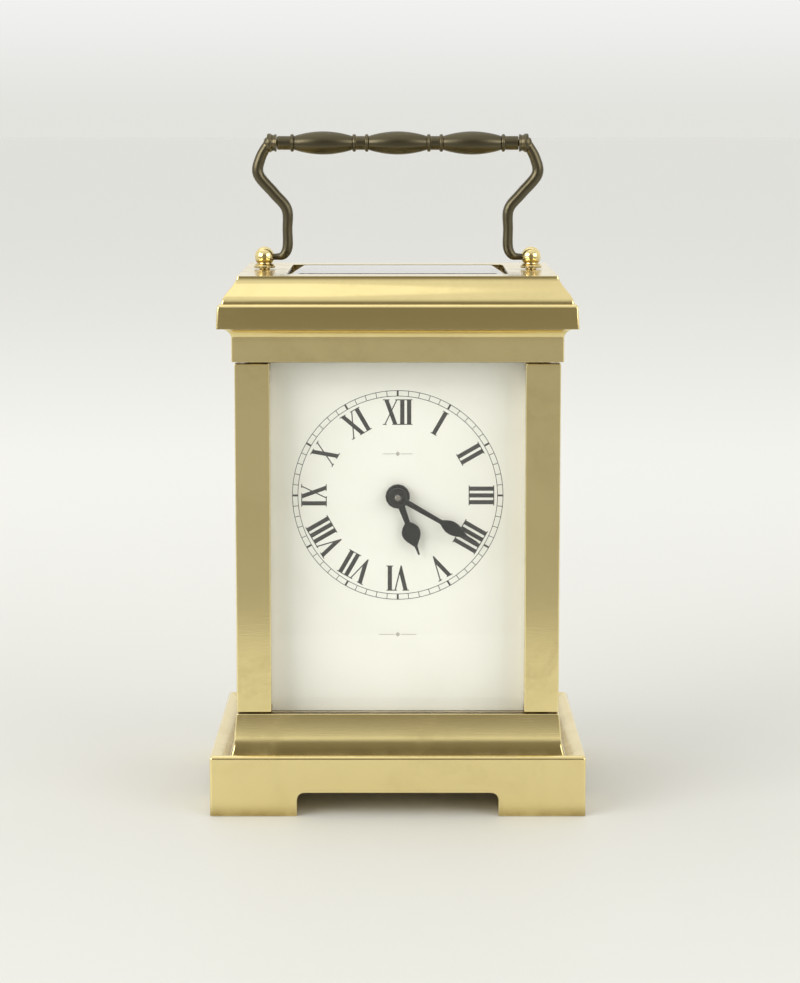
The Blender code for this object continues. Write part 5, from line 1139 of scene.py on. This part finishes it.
# %% Fired enamel and paint
def fired(name, colour, deep, roughness, coat, ripple=0.06):
    """Glassy or painted surface with faint clouds and a slight ripple."""
    material, tree, shader = blank(name)
    clouds = place_group(tree, handling_marks, Marks_per_metre=38.0)
    tree.links.new(mixed(tree, clouds, colour, deep), shader.inputs["Base Color"])
    tree.links.new(ramped(tree, clouds, 0.0, 1.0, roughness, roughness + 0.08), shader.inputs["Roughness"])
    shader.inputs["Coat Weight"].default_value = coat
    shader.inputs["Coat Roughness"].default_value = 0.05
    peel = clouds_of(tree, 420.0, 2.0)
    raised = put(tree, "ShaderNodeBump", {"Strength": ripple, "Distance": 0.0001}, {"Height": peel})
    tree.links.new(raised.outputs[0], shader.inputs["Normal"])
    return material


white_enamel = fired("white_enamel", (0.90, 0.905, 0.88), (0.86, 0.865, 0.83), 0.16, 0.5)
black_enamel = fired("black_enamel", (0.022, 0.02, 0.018), (0.035, 0.033, 0.03), 0.3, 0.2)
grey_enamel = fired("grey_enamel", (0.42, 0.41, 0.38), (0.5, 0.49, 0.46), 0.35, 0.1)


# %% Glass and ruby
def clear_stone(name, tint, deep, roughness):
    """Tinted glass that lets light through to what is behind it."""
    material, tree, shader = blank(name)
    film = place_group(tree, handling_marks, Marks_per_metre=30.0)
    tree.links.new(mixed(tree, film, tint, deep), shader.inputs["Base Color"])
    tree.links.new(ramped(tree, film, 0.0, 1.0, roughness, roughness + 0.006), shader.inputs["Roughness"])
    shader.inputs["Transmission Weight"].default_value = 1.0
    shader.inputs["IOR"].default_value = 1.5
    ray = put(tree, "ShaderNodeLightPath")
    shadow, diffuse = ray.outputs["Is Shadow Ray"], ray.outputs["Is Diffuse Ray"]
    passing = put(tree, "ShaderNodeMath", {}, {0: shadow, 1: diffuse}, operation="MAXIMUM")
    open_way = put(tree, "ShaderNodeBsdfTransparent", {"Color": (*tint, 1)})
    blend = put(tree, "ShaderNodeMixShader", {},
                {0: passing.outputs[0], 1: shader.outputs[0], 2: open_way.outputs[0]})
    tree.links.new(blend.outputs[0], tree.nodes["Material Output"].inputs["Surface"])
    return material


pane_glass = clear_stone("pane_glass", (0.985, 0.99, 0.975), (0.975, 0.98, 0.96), 0.0)
ruby = clear_stone("ruby", (0.72, 0.05, 0.12), (0.6, 0.03, 0.09), 0.05)

# %% Give every piece its finish
FINISH = {
    "polished_brass": polished_brass, "gilt_brass": gilt_brass, "bronzed_brass": bronzed_brass,
    "steel": steel, "blued_steel": blued_steel, "black_steel": black_steel, "enamel": white_enamel,
    "glass": pane_glass,
}
SPECIAL = {"dial_numerals": black_enamel, "minute_ring": black_enamel, "dial_ornament": grey_enamel}
SPECIAL.update({stone.name: ruby for stone in jewels})
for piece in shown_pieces():
    material = SPECIAL.get(piece.name) or FINISH[piece["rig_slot"]]
    piece.data.materials.clear()
    piece.data.materials.append(material)

# %% [markdown]
# ## Table and light
#
# The clock stands on a plain pale table with a bright wall behind it. As painted light, the table's
# colour grows lighter towards the back. A polished metal is only as good as what it reflects, so the
# lamps are few and large: one faint panel overhead for the tops and the soft shadow, and one at each
# side in front. They stand off to the sides, so that the flat panes and fronts don't mirror them. The
# room in front stays darker, because that dark is what gives the front mouldings their deep olive lines.
#
# The table is two sheets. The one in front of the clock shows to the eye but not in reflections,
# because a mirror-bright plinth would otherwise turn as pale as the table before it.

# %% Table
TABLE_EDGE, TABLE_FAR, TABLE_SIDE, APRON = -0.24, 24.0, 9.0, -9.0  # metres from the clock's middle


def sheet(name, near, far):
    """Flat sheet on the floor between two distances."""
    bm = bmesh.new()
    corners = [(-TABLE_SIDE, near, 0), (TABLE_SIDE, near, 0), (TABLE_SIDE, far, 0), (-TABLE_SIDE, far, 0)]
    bm.faces.new([bm.verts.new(corner) for corner in corners])
    return made(name, bm)


table = sheet("pale_table", TABLE_EDGE, TABLE_FAR)
front_sheet = sheet("front_sheet", APRON, TABLE_EDGE)
front_sheet.visible_glossy = False
table_white, tree, shader = blank("table_white")
along = put(tree, "ShaderNodeSeparateXYZ", {}, {0: here(tree)})
# Painted light: the table's colour grows lighter from the clock towards the back.
far = ramped(tree, along.outputs["Y"], -0.1, 0.7)
near_sheet = mixed(tree, clouds_of(tree, 3.0, 3.0), (0.675, 0.68, 0.655), (0.695, 0.70, 0.675))
tree.links.new(mixed(tree, far, near_sheet, (0.89, 0.895, 0.88)), shader.inputs["Base Color"])
shader.inputs["Roughness"].default_value = 0.55
for part in (table, front_sheet):
    part.data.materials.append(table_white)
print("table", 2 * TABLE_SIDE, "m wide")

# %% Room
world = bpy.data.worlds.new("pale_room")
bpy.context.scene.world = world
world.use_nodes = True
tree = world.node_tree
background = tree.nodes["Background"]
direction = put(tree, "ShaderNodeSeparateXYZ", {}, {0: put(tree, "ShaderNodeTexCoord").outputs["Generated"]})
HORIZON_GLOW, DARK_ROOM = (0.47, 0.46, 0.44), (0.25, 0.225, 0.175)
BRIGHT_ROOM = (0.90, 0.895, 0.865)
above = ramped(tree, direction.outputs["Z"], -0.055, 0.02)
front = mixed(tree, above, HORIZON_GLOW, DARK_ROOM)
behind = ramped(tree, direction.outputs["Y"], -0.75, 0.1)
overhead = ramped(tree, direction.outputs["Z"], 0.3, 0.85)
open_side = put(tree, "ShaderNodeMath", {}, {0: behind, 1: overhead}, operation="MAXIMUM").outputs[0]
room = mixed(tree, open_side, front, BRIGHT_ROOM)
WALL_FOOT, WALL_HEAD = (0.77, 0.77, 0.735), (0.89, 0.895, 0.885)
wall = mixed(tree, ramped(tree, direction.outputs["Z"], 0.0, 0.05), WALL_FOOT, WALL_HEAD)
ray = put(tree, "ShaderNodeLightPath")
tree.links.new(mixed(tree, ray.outputs["Is Camera Ray"], room, wall), background.inputs["Color"])
background.inputs["Strength"].default_value = 1.0
print("room with", len(tree.nodes), "nodes")


# %% Lamps
def softbox(name, place, target, width, height, power, colour):
    """Large rectangular lamp aimed at a point."""
    data = bpy.data.lights.new(name, "AREA")
    data.shape = "RECTANGLE"
    data.size, data.size_y = width, height
    data.energy = power
    data.color = colour
    lamp = bpy.data.objects.new(name, data)
    bpy.context.scene.collection.objects.link(lamp)
    lamp.location = place
    lamp.rotation_euler = (Vector(target) - Vector(place)).to_track_quat("-Z", "Y").to_euler()
    return lamp


CLOCK_MIDDLE = (0, 0, 0.07)
WARM_WHITE = (1.0, 0.985, 0.96)
softbox("overhead_panel", (-0.3, 0.2, 1.2), CLOCK_MIDDLE, 1.2, 1.2, 1.5, (1.0, 0.985, 0.95))
softbox("left_panel", (-1.05, -0.9, 0.65), CLOCK_MIDDLE, 1.2, 0.8, 13.5, WARM_WHITE)
softbox("right_panel", (1.05, -0.95, 0.6), CLOCK_MIDDLE, 1.2, 0.8, 8.0, WARM_WHITE)
bpy.context.scene.view_settings.view_transform = "Standard"
print("lamps hung")
